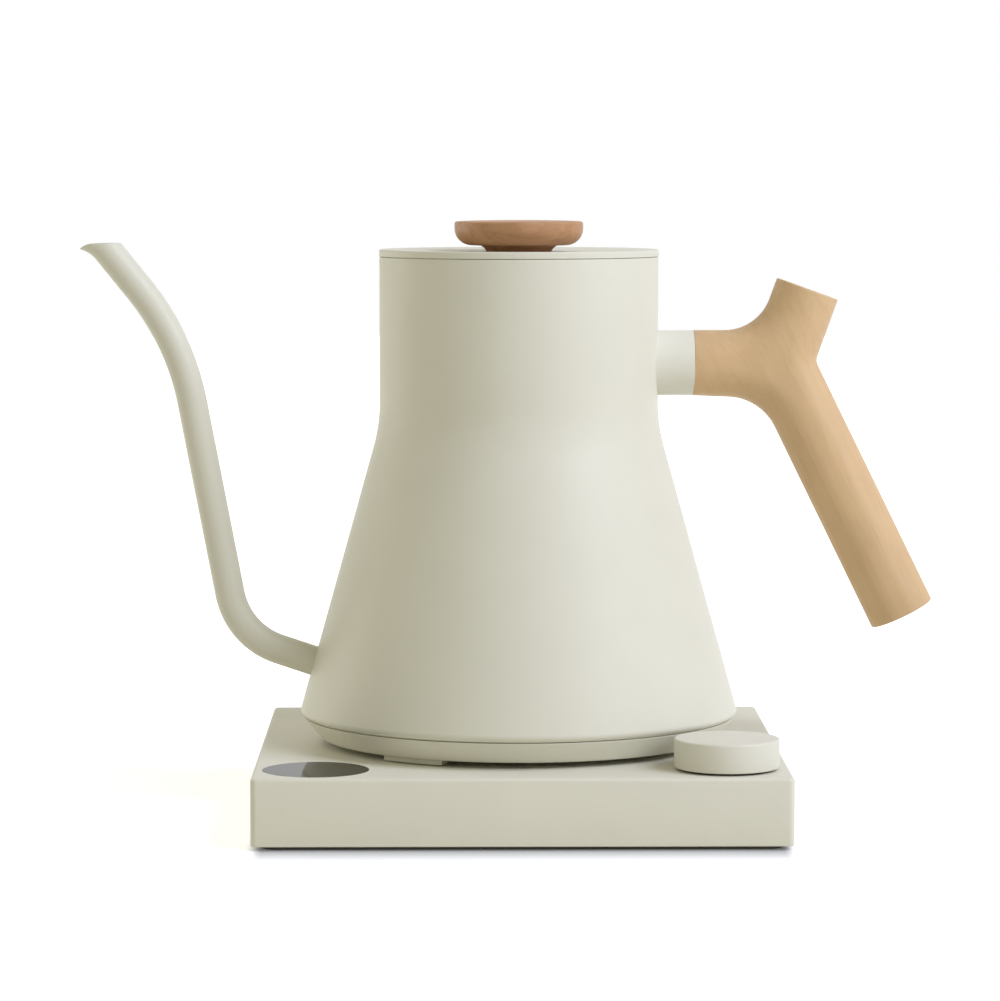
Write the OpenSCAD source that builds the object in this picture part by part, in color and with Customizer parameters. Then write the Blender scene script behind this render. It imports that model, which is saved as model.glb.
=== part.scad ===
// Electric gooseneck kettle on a square powered base, rebuilt as separate pieces.
// Millimetres, +Z up. Origin: centre of the foot ring's resting plane, on the kettle's axis.
// The spout points to -X, the handle to +X, the dial and the display face -Y.

/* [Base] */
// width and depth of the square housing
base_w = 175; // [165:1:200]
// height of the housing
base_h = 22.1; // [21:0.1:30]
// radius of the four upright corners
base_corner_r = 2; // [1:0.5:8]
// radius of the edge round the top face
base_edge_r = 1.2; // [0.6:0.1:2]
// thickness of the side walls
base_wall = 2.2; // [1.8:0.1:3]
// thickness of the top wall
base_top_t = 2.5; // [2.2:0.1:3.5]
// thickness of the bottom plate
plate_t = 2; // [1.5:0.1:3]
// how far the rubber ring stands below the housing
foot_h = 1.4; // [1:0.1:3]
// width of the rubber ring
foot_w = 6.5; // [4:0.5:8]
// distance from the housing's side to the rubber ring
foot_inset = 3.5; // [3.2:0.1:5]

/* [Dial and display] */
// radius of the dial
dial_r = 17.2; // [14:0.1:19]
// height of the dial
dial_h = 9.5; // [9:0.1:14]
// gap between the dial and the base
dial_gap = 0.8; // [0.8:0.1:1.5]
// distance from the sides of the base to the dial's axis
dial_inset = 20.7; // [19:0.1:24]
// travel of the dial when it is pressed
dial_press = 0.5; // [0.3:0.1:0.5]
// radius of the display window
lens_r = 17.3; // [15:0.1:19]
// thickness of the display window
lens_t = 1.6; // [1:0.1:1.6]
// distance from the sides of the base to the middle of the display
display_inset = 21; // [20.5:0.1:24]

/* [Kettle body] */
// largest radius of the body, near its lower edge
body_r = 74.2; // [70:0.1:80]
// radius of the straight neck
neck_r = 47.25; // [44:0.05:54]
// height of the straight neck
neck_h = 48.8; // [40:0.1:60]
// height of the body's rim over the base
rim_z = 165.3; // [155:0.1:190]
// radius of the curve between the cone and the neck
flare_r = 58; // [30:1:80]
// thickness of the body's wall
body_wall = 1; // [0.8:0.1:1.2]
// gap between the base and the bottom cap
cap_gap = 2; // [1.6:0.1:3]
// height of the bottom cap
cap_h = 7; // [6:0.1:9]
// slant of the bottom cap's side, measured across
cap_slant = 5.6; // [3:0.1:7]
// height of the water space's floor over the base
floor_z = 20.7; // [20:0.1:21.5]

/* [Spout] */
// outside radius of the spout tube
spout_r = 5.05; // [4.5:0.05:6]
// wall of the spout tube
spout_wall = 0.8; // [0.6:0.1:1]
// height over the base at which the spout leaves the body
spout_z = 27.6; // [26.8:0.1:32]
// angle of the first stretch over level
spout_out_a = 18.5; // [12:0.5:25]
// length of the first stretch
spout_out = 12.6; // [10:0.1:20]
// radius of the lower bend, at the tube's middle
spout_bend_low = 25; // [18:0.1:32]
// angle of the riser over level
spout_rise_a = 79.2; // [70:0.1:84]
// radius of the upper bend, at the tube's middle
spout_bend_top = 87.2; // [60:0.1:110]
// angle of the last stretch over level
spout_tip_a = 51.2; // [45:0.1:60]
// length of the last stretch, up to the mouth
spout_tip = 20; // [14:0.1:30]
// height of the mouth over the body's rim
mouth_up = 4.6; // [2:0.1:10]
// radius of the pouring lip's outward curl, at the tube's middle
lip_curl_r = 15.5; // [12:0.1:30]
// distance from the start of the curl to the middle of the mouth
lip_back = 3.2; // [2:0.1:5]
// distance from the middle of the mouth to where its rim starts to droop
lip_flat = 2.1; // [0:0.1:4]
// radius of the drooping rim, seen from the side
lip_droop_r = 8.2; // [6:0.1:20]

/* [Handle] */
// height of the handle's collar over the base
handle_z = 129.3; // [122:0.1:140]
// distance from the kettle's axis to the point where the branches meet
handle_reach = 89.3; // [82:0.1:100]
// radius of the metal collar
collar_r = 11; // [10:0.1:12]
// distance from the kettle's axis to the collar's outer end
collar_end = 59.3; // [56:0.1:62]
// half the thickness of the wood
wood_r = 10.9; // [10.4:0.1:12]
// lean of the upper branch from upright
stub_a = 19; // [10:0.5:30]
// length of the upper branch
stub_len = 26.5; // [24:0.5:40]
// lean of the lower branch from upright
grip_a = 25.9; // [15:0.1:32]
// length of the lower branch
grip_len = 95.1; // [80:0.5:100]
// radius of the hollow over the neck
cove_top_r = 15; // [10:0.5:18]
// radius of the hollow under the neck
cove_low_r = 17; // [10:0.5:20]
// radius of the crotch between the two branches
crotch_r = 3; // [2:0.5:6]

/* [Lid] */
// height of the lid's rim
lid_h = 2.1; // [2:0.1:4]
// radius of the round edge on the lid
lid_edge_r = 0.6; // [0.3:0.1:1]
// thickness of the lid's sheet
lid_t = 0.9; // [0.8:0.1:1]
// depth of the pressed dish in the lid's top
lid_dish = 1; // [0.6:0.1:1.2]
// radius of the flat seat in the middle of the dish
lid_seat_r = 13; // [12:0.5:20]
// how far the plug reaches into the neck
plug_h = 9; // [8:0.5:14]
// radius of the wooden knob
knob_r = 21.8; // [16:0.1:26]
// height of the wooden knob
knob_h = 10.8; // [10.4:0.1:14]
// radius of the round edge on the knob's top
knob_edge_r = 0.8; // [0.4:0.1:2]
// radius of the round under the knob's side
knob_side_r = 5.7; // [4:0.1:7]
// radius of the knob's foot
knob_foot_r = 10.9; // [8:0.1:11.5]
// height of the knob's foot
knob_foot_h = 2.35; // [1.5:0.05:3]

/* [Fits] */
// gap between seated pieces of one body
fit = 0.05; // [0.02:0.01:0.1]
// gap round the turning shaft
shaft_gap = 0.05; // [0.02:0.01:0.08]
// gap between pieces that move apart
move_gap = 0.3; // [0.3:0.05:0.5]
// gap round the plug of the cordless connector
plug_gap = 0.5; // [0.4:0.1:0.8]
// bore of the cord gland
cord_r = 3.6; // [3:0.1:3.8]

/* [Hidden] */
$fn = 72;
cut = 0.5;
z_base = foot_h;
z_top = foot_h + base_h;
z_ceiling = z_top - base_top_t;
z_plate = z_base + 0.3;
z_inside = z_plate + plate_t;
in_w = base_w - 2 * base_wall;
dial_x = base_w / 2 - dial_inset;
dial_y = -base_w / 2 + dial_inset;
disp_x = -base_w / 2 + display_inset;
disp_y = -base_w / 2 + display_inset;
z_dial = z_top + dial_gap;
back_screw = base_w / 2 - 15.5;
front_screw = base_w / 5;
boss_r = 4;
screw_r = 1.5;
head_r = 2.9;
head_h = 1.9;

// cordless connector
hub_r = 15.5;
hub_h = 7.2;
hub_seat_r = 20.5;
ear_r = 29;
ear_z = 13;
ear_t = 2.5;
ear_screw_r = 25.2;
pin_r = 3.4;
blade_r = 10.4;
blade_t = 0.9;
leaf_t = 0.5;
pin_bore_r = pin_r + plug_gap + leaf_t + 0.1;
blade_in = blade_r - blade_t - move_gap - leaf_t - 0.1;
blade_out = blade_r + move_gap + leaf_t + 0.1;
tail_low = 6.4;
tail_at = [0, blade_in + leaf_t / 2 + 0.05, -(blade_out - leaf_t / 2 - 0.05)];
tail_order = [tail_at[2], tail_at[0], tail_at[1]];

// dial and the encoder under it
dial_wall = 1.8;
dial_top_t = 2;
dial_edge_r = 1.2;
enc_w = 12.4;
enc_top = z_ceiling - 0.05;
enc_h = 7.5;
enc_low = enc_top - enc_h;
enc_floor = 1.4;
enc_roof = 1.6;
rotor_r = 4.9;
bush_r = 3.5;
bush_top = z_top + 4;
shaft_r = 3;
shaft_low = enc_low + enc_floor + move_gap + dial_press;
shaft_top = z_dial + dial_h - dial_top_t - 0.2;
shaft_flat = 1.6;
board_t = 1.6;
board_hole_in = 4;
dial_board_w = 26;
dial_board_d = 20;
shoulder_z = enc_top - enc_roof - move_gap + dial_press + 0.1;
hub_low = bush_top + dial_press + move_gap + 0.1;
hub_sleeve_r = shaft_r + 2.6;

// display
disp_low = z_ceiling - 4.8;
disp_board_w = 34;
disp_post = disp_board_w / 2 - 3;

// power board
power_x = 46.5 - base_w / 2;
power_y = base_w / 2 - 38.5;
power_w = 52;
power_d = 46;
power_z = z_inside + 3;
power_top = power_z + board_t;

// kettle levels
zc0 = z_top + cap_gap;
zc1 = zc0 + cap_h;
zb0 = zc1 + 0.4;
z_rim = z_top + rim_z;
z_neck = z_rim - neck_h;
z_wide = zb0 + 2.6;
z_floor = z_top + floor_z;
floor_t = 1.2;
floor_rim = 6;

// slope of the cone that touches both the wide point and the flare
tan_x = neck_r + flare_r - body_r;
tan_z = z_neck - z_wide;
cone_a = atan2(tan_z, tan_x) - acos(flare_r / sqrt(tan_x * tan_x + tan_z * tan_z));
low_r = (z_wide - zb0) / (1 + sin(cone_a));
low_x = body_r - low_r * cos(cone_a);
mouth_low_r = low_x - 3;
function body_at(z) = body_r - (z - z_wide) * tan(cone_a);

// bottom cap and what it carries
cap_t = 2;
cap_top_r = low_x + 1.2;
cap_low_r = cap_top_r - cap_slant;
stud_at = body_r - 16.2;
stud_r = 3.5;
foot_pad_r0 = cap_low_r - 7;
foot_pad_r1 = cap_low_r - 1.6;
foot_pad_a = 9;
heater_at = 40;
heater_r = 3.3;
heater_gap_a = 20;
cold_pin_r = 1.3;
cold_pin_len = 6;
spread_r = 50;
spread_t = 3;
z_spread = z_floor - floor_t - spread_t;
sock_r0 = hub_r + plug_gap;
sock_r1 = sock_r0 + 3;
sock_z = z_top + hub_h + plug_gap;
sock_t = 2.5;
sock_flange_r = 30;
probe_at = 28.6;

// spout path, from the body's wall to the mouth
mouth_z = z_rim + mouth_up;
sp0 = [-body_at(z_top + spout_z), z_top + spout_z];
function dir(a) = [-cos(a), sin(a)];
sp1 = sp0 + spout_out * dir(spout_out_a);
bend1_c = sp1 + spout_bend_low * [sin(spout_out_a), cos(spout_out_a)];
sp2 = bend1_c - spout_bend_low * [sin(spout_rise_a), cos(spout_rise_a)];
bend2_rise = spout_bend_top * (cos(spout_tip_a) - cos(spout_rise_a));
riser_rise = mouth_z - sp2[1] - bend2_rise - spout_tip * sin(spout_tip_a);
riser = riser_rise / sin(spout_rise_a);
sp3 = sp2 + riser * dir(spout_rise_a);
bend2_c = sp3 - spout_bend_top * [sin(spout_rise_a), cos(spout_rise_a)];
sp4 = bend2_c + spout_bend_top * [sin(spout_tip_a), cos(spout_tip_a)];
bend_lap = 0.4;
bend_swell = 0.02;
sp5 = sp4 + (spout_tip - lip_back) * dir(spout_tip_a);
lip_c = sp5 - lip_curl_r * [sin(spout_tip_a), cos(spout_tip_a)];
mouth_x = sp4[0] - spout_tip * cos(spout_tip_a);

// handle
hub_x = handle_reach;
hub_z = z_top + handle_z;
half_neck = 0.2;
half_stub = 0.05;
half_grip = 0.65;
insert_r = 4.6;
insert_len = 13;
bolt_r = 3;
bolt_end = collar_end + insert_len + 1;

// lid
z_lid = z_rim + move_gap;
z_lid_top = z_lid + lid_h + 0.1;
z_seat = z_lid_top - lid_dish;
lid_r = neck_r + 0.1;
dish_r = lid_r - lid_edge_r;
lid_skirt = 1.1;
plug_r = neck_r - body_wall - 1.6;
plug_wall = 0.8;
plug_z = z_rim - plug_h;
seal_r = neck_r - body_wall - move_gap;
seal_z = plug_z + 2.4;
seal_h = 3.2;
plug_top = z_lid_top - lid_t - fit - lid_dish * (dish_r - plug_r + plug_wall) / (dish_r - lid_seat_r);
z_knob = z_seat + fit;

// ---------------------------------------------------------------- helpers

// round bar from height z0 to height z1
module bar(r, z0, z1) {
  translate([0, 0, z0])
    cylinder(r = r, h = z1 - z0);
}

// round ring from height z0 to height z1
module ring(r0, r1, z0, z1) {
  translate([0, 0, z0])
    linear_extrude(z1 - z0)
      difference() {
        circle(r1);
        circle(r0);
      }
}

// block centred across, from height z0 to height z1
module block(x, y, z0, z1) {
  translate([-x / 2, -y / 2, z0])
    cube([x, y, z1 - z0]);
}

// square outline with round corners
module soft_square(w, r) {
  union() {
    square([w, w - 2 * r], center = true);
    square([w - 2 * r, w], center = true);
    for (x = [-1, 1])
      for (y = [-1, 1])
        translate([x * (w / 2 - r), y * (w / 2 - r)])
          circle(r);
  }
}

// screw pointing up, with the underside of its head at height 0
module screw_up(len) {
  union() {
    bar(head_r, -head_h, 0);
    bar(screw_r, -fit, len);
  }
}

// places the four housing screws
module at_plate_screws() {
  for (x = [-1, 1]) {
    translate([x * back_screw, back_screw, 0])
      children();
    translate([x * front_screw, -back_screw, 0])
      children();
  }
}

// places the corners of a board
module at_corners(x, y, dx, dy) {
  for (i = [-1, 1])
    for (j = [-1, 1])
      translate([x + i * dx, y + j * dy, 0])
        children();
}

// places three pieces round the kettle's axis
module at_three(r, a) {
  for (i = [0:2])
    rotate(a + i * 120)
      translate([r, 0, 0])
        children();
}

// arc of points about c, the short way from angle a0 to angle a1
function turn(a0, a1) = (a1 - a0 + 540) % 360 - 180;
function arc(c, r, a0, a1, n) =
  [for (i = [0:n]) c + r * [cos(a0 + turn(a0, a1) * i / n), sin(a0 + turn(a0, a1) * i / n)]];

// ---------------------------------------------------------------- base

// moulded plastic housing: open below, with bosses that take the screws
module base_housing() {
  color([0.83, 0.82, 0.76])
    difference() {
      union() {
        difference() {
          housing_block();
          translate([0, 0, z_base - cut])
            linear_extrude(z_ceiling - z_base + cut)
              soft_square(in_w, base_corner_r);
        }
        at_plate_screws()
          bar(boss_r, z_inside, z_ceiling + cut);
        at_three(ear_screw_r, 90)
          bar(boss_r - 0.6, ear_z + ear_t, z_ceiling + cut);
        at_corners(disp_x, disp_y, disp_post, disp_post)
          bar(2.8, disp_low, z_ceiling + cut);
      }
      at_plate_screws()
        bar(screw_r, z_inside - cut, z_inside + 9);
      at_three(ear_screw_r, 90)
        bar(screw_r, ear_z, ear_z + ear_t + 4.5);
      at_corners(disp_x, disp_y, disp_post, disp_post)
        bar(screw_r, disp_low - cut, disp_low + 4.2);
      bar(hub_seat_r + 0.3, z_ceiling - cut, z_top + cut);
      translate([dial_x, dial_y, 0])
        bar(bush_r + 0.2, z_ceiling - cut, z_top + cut);
      translate([disp_x, disp_y, 0])
        bar(lens_r + 0.1, z_top - lens_t, z_top + cut);
      translate([disp_x, disp_y, 0])
        bar(lens_r - 2.8, z_ceiling - cut, z_top);
      gland_cuts();
    }
}

// outside of the housing: upright corners and a round edge along each top side
module housing_block() {
  intersection() {
    translate([0, 0, z_base])
      linear_extrude(base_h)
        soft_square(base_w, base_corner_r);
    housing_side();
    rotate(90)
      housing_side();
  }
}

module housing_side() {
  translate([0, base_w, 0])
    rotate([90, 0, 0])
      linear_extrude(2 * base_w)
        union() {
          translate([-base_w / 2, z_base - 1])
            square([base_w, base_h + 1 - base_edge_r]);
          translate([base_edge_r - base_w / 2, z_base])
            square([base_w - 2 * base_edge_r, base_h]);
          for (x = [-1, 1])
            translate([x * (base_w / 2 - base_edge_r), z_top - base_edge_r])
              circle(base_edge_r);
        }
}

gland_z = z_base + 10.6;
gland_flange_r = cord_r + 3.8;
gland_web_r = cord_r + 2.3;

module gland_cuts() {
  translate([0, base_w / 2, gland_z])
    rotate([90, 0, 0]) {
      bar(gland_web_r + fit, -cut, base_wall + cut);
      bar(gland_flange_r + fit, -cut, 1);
    }
}

// bottom plate with posts for the power board and for the cord clamp
module base_plate() {
  color([0.2, 0.2, 0.2])
    difference() {
      union() {
        translate([0, 0, z_plate])
          linear_extrude(plate_t)
            soft_square(in_w - 2 * fit, base_corner_r);
        at_corners(power_x, power_y, power_w / 2 - board_hole_in, power_d / 2 - board_hole_in)
          bar(3, z_inside - cut, power_z - fit);
        translate([0, clamp_y, 0])
          block(9.4, clamp_d, z_inside - cut, gland_z - 1);
        for (x = [-1, 1])
          translate([x * clamp_x, clamp_y, 0])
            bar(3, z_inside - cut, clamp_z - fit);
      }
      at_plate_screws()
        bar(screw_r + 0.2, z_plate - cut, z_inside + cut);
      at_plate_screws()
        bar(head_r + 0.3, z_plate - cut, z_plate + 1);
      at_corners(power_x, power_y, power_w / 2 - board_hole_in, power_d / 2 - board_hole_in)
        bar(screw_r, z_plate + 0.6, power_z);
      for (x = [-1, 1])
        translate([x * clamp_x, clamp_y, 0])
          bar(screw_r, z_inside, clamp_z);
      cord_way();
      foot_band(z_plate - cut, z_plate + 0.6, fit);
    }
}

// path of the supply cord from the gland inwards
module cord_way() {
  translate([0, base_w / 2, gland_z])
    rotate([90, 0, 0])
      bar(cord_r, -cut, 30);
}

clamp_x = 9;
clamp_y = base_w / 2 - 13;
clamp_d = 8;
clamp_z = gland_z + 0.6;
clamp_t = cord_r + 1.6;

// square band between two heights, widened by g on both sides
module foot_band(z0, z1, g) {
  translate([0, 0, z0])
    linear_extrude(z1 - z0)
      difference() {
        soft_square(base_w - 2 * foot_inset + 2 * g, 5);
        soft_square(base_w - 2 * foot_inset - 2 * foot_w - 2 * g, 3);
      }
}

// one rubber band that carries the base
module foot_ring() {
  color([0.12, 0.12, 0.12])
    foot_band(0, z_plate + 0.6 - fit, 0);
}

// four screws that hold the bottom plate
module plate_screws() {
  color([0.7, 0.7, 0.7])
    at_plate_screws()
      translate([0, 0, z_plate + 1 - fit])
        difference() {
          screw_up(8);
          translate([0, 0, -head_h - cut])
            linear_extrude(1 + cut)
              circle(1.4, $fn = 6);
        }
}

// cordless connector: the raised hub that the kettle drops over
module base_connector() {
  color([0.25, 0.25, 0.25])
    difference() {
      union() {
        bar(hub_seat_r, 8, z_top + 0.3);
        bar(hub_r, 10, z_top + hub_h - 1);
        translate([0, 0, z_top + hub_h - 1])
          cylinder(r1 = hub_r, r2 = hub_r - 1, h = 1);
        bar(ear_r, ear_z, ear_z + ear_t - fit);
      }
      bar(pin_bore_r, 10, z_top + hub_h + cut);
      ring(blade_in, blade_out, 10, z_top + hub_h + cut);
      at_three(ear_screw_r, 90)
        bar(screw_r + 0.2, ear_z - cut, ear_z + ear_t + cut);
      for (x = tail_at)
        translate([x, 0, 0])
          bar(0.9, 8 - cut, 10 + cut);
    }
}

// three screws that hold the connector
module connector_screws() {
  color([0.7, 0.7, 0.7])
    at_three(ear_screw_r, 90)
      translate([0, 0, ear_z - fit])
        screw_up(6);
}

// sprung contacts inside the connector: one sleeve and two curved leaves
module contact_springs() {
  color([0.8, 0.66, 0.35]) {
    union() {
      ring(pin_bore_r - fit - leaf_t, pin_bore_r - fit, 10 + fit, z_top + 4);
      bar(pin_bore_r - 0.3, 10 + fit, 10.6);
      bar(0.8, tail_low, 10.4);
    }
    union() {
      leaf(blade_in + fit, 0);
      translate([tail_at[1], 0, 0])
        bar(0.8, tail_low, 10.4);
    }
    union() {
      leaf(blade_out - fit - leaf_t, 180);
      translate([tail_at[2], 0, 0])
        bar(0.8, tail_low, 10.4);
    }
  }
}

module leaf(r0, a) {
  translate([0, 0, 10 + fit])
    rotate(a - 25)
      rotate_extrude(angle = 50)
        translate([r0, 0])
          square([leaf_t, z_top + 3 - 10]);
}

// ---------------------------------------------------------------- display

module display_lens() {
  color([0.1, 0.1, 0.1])
    translate([disp_x, disp_y, 0])
      bar(lens_r, z_top - lens_t + fit, z_top - 0.02);
}

module display_module() {
  color([0.15, 0.2, 0.22])
    translate([disp_x, disp_y, 0])
      union() {
        bar(lens_r - 3.2, disp_low + 1, z_top - lens_t - 0.15);
        bar(lens_r - 4.2, disp_low + fit, disp_low + 1.2);
      }
}

module control_board() {
  color([0.12, 0.35, 0.2])
    translate([disp_x, disp_y, 0])
      difference() {
        block(disp_board_w, disp_board_w, disp_low - board_t, disp_low - fit);
        at_corners(0, 0, disp_post, disp_post)
          bar(screw_r + 0.2, disp_low - board_t - cut, disp_low);
      }
}

// sounder on the underside of the control board
module buzzer() {
  color([0.1, 0.1, 0.1])
    translate([disp_x, disp_y, 0])
      difference() {
        bar(5, disp_low - board_t - 5.2, disp_low - board_t - fit);
        bar(1, disp_low - board_t - 5.2 - cut, disp_low - board_t - 4);
      }
}

// ---------------------------------------------------------------- dial

// fixed half of the encoder: case, bushing and the floor that stops the shaft
module encoder_body() {
  color([0.6, 0.6, 0.62])
    translate([dial_x, dial_y, 0])
      difference() {
        union() {
          block(enc_w, enc_w, enc_low, enc_top);
          bar(bush_r, enc_top - cut, bush_top);
        }
        bar(rotor_r + move_gap, enc_low + enc_floor, enc_top - enc_roof);
        bar(shaft_r + shaft_gap, enc_top - enc_roof - cut, bush_top + cut);
      }
}

// nut and washer that clamp the encoder to the top wall
module encoder_nut() {
  color([0.72, 0.72, 0.74])
    translate([dial_x, dial_y, 0])
      difference() {
        union() {
          bar(6, z_top + fit, z_top + 0.6);
          translate([0, 0, z_top + 0.5])
            linear_extrude(2)
              circle(5.6, $fn = 6);
        }
        bar(bush_r + fit, z_top - cut, z_top + 3);
      }
}

module dial_board() {
  color([0.12, 0.35, 0.2])
    translate([dial_x, dial_y, 0])
      block(dial_board_w, dial_board_d, enc_low - board_t - fit, enc_low - fit);
}

// disc that turns with the shaft and lets it slide
module encoder_rotor() {
  color([0.9, 0.9, 0.88])
    translate([dial_x, dial_y, 0])
      difference() {
        bar(rotor_r, enc_low + enc_floor + move_gap, enc_top - enc_roof - move_gap);
        d_bar(shaft_r + shaft_gap, shaft_flat + shaft_gap, enc_low, enc_top);
      }
}

// round bar with one flat
module d_bar(r, flat, z0, z1) {
  translate([0, 0, z0])
    linear_extrude(z1 - z0)
      intersection() {
        circle(r);
        translate([-2 * r, -2 * r])
          square([2 * r + flat, 4 * r]);
      }
}

// shaft: flat below for the rotor, round in the bushing, flat above for the dial
module encoder_shaft() {
  color([0.75, 0.75, 0.77])
    translate([dial_x, dial_y, 0])
      union() {
        d_bar(shaft_r, shaft_flat, shaft_low, shoulder_z);
        bar(shaft_r, shoulder_z, hub_low);
        d_bar(shaft_r, shaft_flat, hub_low, shaft_top);
      }
}

// plastic hub pressed into the dial
module dial_hub() {
  color([0.2, 0.2, 0.2])
    translate([dial_x, dial_y, 0])
      difference() {
        union() {
          bar(hub_sleeve_r, hub_low, z_dial + dial_h - dial_top_t - fit);
          bar(dial_r - dial_wall - fit, z_dial + dial_h - dial_top_t - 1, z_dial + dial_h - dial_top_t - fit);
        }
        d_bar(shaft_r + 0.02, shaft_flat + 0.02, hub_low - cut, shaft_top + 0.1);
      }
}

// the dial itself: a cap with a round edge
module dial_knob() {
  color([0.85, 0.84, 0.78])
    translate([dial_x, dial_y, 0])
      difference() {
        translate([0, 0, z_dial])
          rotate_extrude()
            polygon(concat(
              [[0, 0], [dial_r - 0.4, 0], [dial_r, 0.4]],
              arc([dial_r - dial_edge_r, dial_h - dial_edge_r], dial_edge_r, 0, 90, 6),
              [[0, dial_h]]
            ));
        bar(dial_r - dial_wall, z_dial - cut, z_dial + dial_h - dial_top_t);
      }
}

// ---------------------------------------------------------------- power board

module power_board() {
  color([0.12, 0.35, 0.2])
    difference() {
      translate([power_x, power_y, 0])
        block(power_w, power_d, power_z, power_top);
      at_corners(power_x, power_y, power_w / 2 - board_hole_in, power_d / 2 - board_hole_in)
        bar(screw_r + 0.2, power_z - cut, power_top + cut);
    }
}

module relay() {
  color([0.15, 0.25, 0.55])
    translate([power_x - 13, power_y - 4, 0])
      block(15.5, 12, power_top + fit, power_top + 11.4);
}

module transformer() {
  color([0.75, 0.62, 0.2])
    translate([power_x + 10, power_y - 6, 0])
      union() {
        block(20, 10, power_top + fit, power_top + 11);
        block(13, 17, power_top + fit, power_top + 9.5);
      }
}

module capacitor() {
  color([0.1, 0.1, 0.12])
    translate([power_x - 3, power_y + 14, 0])
      bar(4.5, power_top + fit, power_top + 11.2);
}

module terminal_block() {
  color([0.2, 0.5, 0.3])
    translate([power_x + 10, power_y + 13, 0])
      difference() {
        block(15, 9, power_top + fit, power_top + 10);
        for (x = [-5, 0, 5])
          translate([x, 0, 0])
            bar(1.6, power_top + 6, power_top + 10 + cut);
      }
}

// screws of the power board, driven from above, and of the control board, from below
module board_screws() {
  color([0.7, 0.7, 0.7]) {
    at_corners(power_x, power_y, power_w / 2 - board_hole_in, power_d / 2 - board_hole_in)
      translate([0, 0, power_top + fit])
        mirror([0, 0, 1])
          screw_up(4.2);
    at_corners(disp_x, disp_y, disp_post, disp_post)
      translate([0, 0, disp_low - board_t - fit])
        screw_up(5.2);
  }
}

// ---------------------------------------------------------------- cord entry

module cord_gland() {
  color([0.12, 0.12, 0.12])
    translate([0, base_w / 2, gland_z])
      rotate([90, 0, 0])
        difference() {
          union() {
            bar(gland_flange_r, 0.02, 1 - fit);
            bar(gland_web_r, 0.1, base_wall + 0.2);
            bar(gland_flange_r, base_wall + fit, base_wall + 1.7);
          }
          bar(cord_r, -cut, base_wall + 2);
        }
}

module cord_clamp() {
  color([0.22, 0.22, 0.22])
    difference() {
      translate([0, clamp_y, 0])
        block(2 * clamp_x + 7, clamp_d, clamp_z, clamp_z + clamp_t);
      cord_way();
      for (x = [-1, 1])
        translate([x * clamp_x, clamp_y, 0])
          bar(screw_r + 0.2, clamp_z - cut, clamp_z + clamp_t + cut);
    }
}

module clamp_screws() {
  color([0.7, 0.7, 0.7])
    for (x = [-1, 1])
      translate([x * clamp_x, clamp_y, clamp_z + clamp_t + fit])
        mirror([0, 0, 1])
          screw_up(clamp_t + 6);
}

// ---------------------------------------------------------------- base wiring

lead_r = 0.9;
lead_z = tail_low - lead_r - fit;

// straight lead from point a to point b, run on past b by half its width
module lead(a, b) {
  d = b - a;
  translate(a)
    rotate([0, acos(d[2] / norm(d)), atan2(d[1], d[0])])
      cylinder(r = lead_r, h = norm(d) + lead_r);
}

// supply leads from the power board to the three contacts
module base_leads() {
  color([0.75, 0.2, 0.15])
    for (i = [0:2]) {
      y = power_y - power_d / 2 - 8 + i * 3;
      x = power_x + 18 - i * 8;
      t = tail_order[i];
      up = power_top + 2;
      union() {
        lead([x, power_y - power_d / 2 + 4, up], [x, y, up]);
        lead([x, y, up + 0.6 * lead_r], [x, y, lead_z]);
        lead([x - 0.6 * lead_r, y, lead_z], [t, y, lead_z]);
        lead([t, y + 0.6 * lead_r, lead_z], [t, 0, lead_z]);
      }
    }
}

cable_w = 8;
cable_t = 0.8;
cable_end = 4.6;
cable_in = 12;

// flat cable from the power board to the control board and on to the dial board
module signal_cable() {
  color([0.8, 0.8, 0.8]) {
    z = z_inside + fit;
    x0 = disp_x + 2.5;
    x1 = power_x - power_w / 2 + cable_in;
    y0 = disp_y + (disp_board_w + cable_w) / 2 + 0.4;
    y1 = power_y - (power_d + cable_w) / 2 - 0.4;
    ym = (y0 + y1) / 2;
    union() {
      translate([x0, (y0 + ym) / 2, 0])
        block(cable_w, ym - y0 + cable_w, z, z + cable_t);
      translate([(x0 + x1) / 2, ym, 0])
        block(x1 - x0, cable_w, z, z + cable_t);
      translate([x1, (y1 + ym) / 2, 0])
        block(cable_w, y1 - ym + cable_w, z, z + cable_t);
      translate([x1, y1 + cable_w / 2 - cable_t / 2, 0])
        block(cable_w, cable_t, z, power_top + 1);
      translate([x1, y1 + cable_w / 2 - cable_t / 2 + cable_end / 2, 0])
        block(cable_w, cable_end + cable_t, power_top + fit, power_top + 1);
      translate([x0, y0 - cable_w / 2 + cable_t / 2, 0])
        block(cable_w, cable_t, z, disp_low + 1);
      translate([x0, y0 - cable_w / 2 + cable_t - cable_end / 2, 0])
        block(cable_w, cable_end, disp_low + fit, disp_low + 1);
    }
    union() {
      translate([(dial_x + disp_x) / 2, disp_y + 3, 0])
        block(dial_x - disp_x - disp_board_w - 20, cable_w, z, z + cable_t);
      translate([disp_x + disp_board_w / 2 + 10, disp_y + 3, 0])
        block(cable_t, cable_w, z, disp_low - board_t - 1);
      translate([disp_x + disp_board_w / 2 + 3, disp_y + 3, 0])
        block(14.8, cable_w, disp_low - board_t - 1, disp_low - board_t - fit - 0.02);
      translate([dial_x - disp_board_w / 2 - 10, disp_y + 3, 0])
        block(cable_t, cable_w, z, enc_low - board_t - 1);
      translate([dial_x - disp_board_w / 2 - 1, disp_y + 3, 0])
        block(18.8, cable_w, enc_low - board_t - 1, enc_low - board_t - fit - 0.02);
    }
  }
}

// ---------------------------------------------------------------- kettle body

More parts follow.
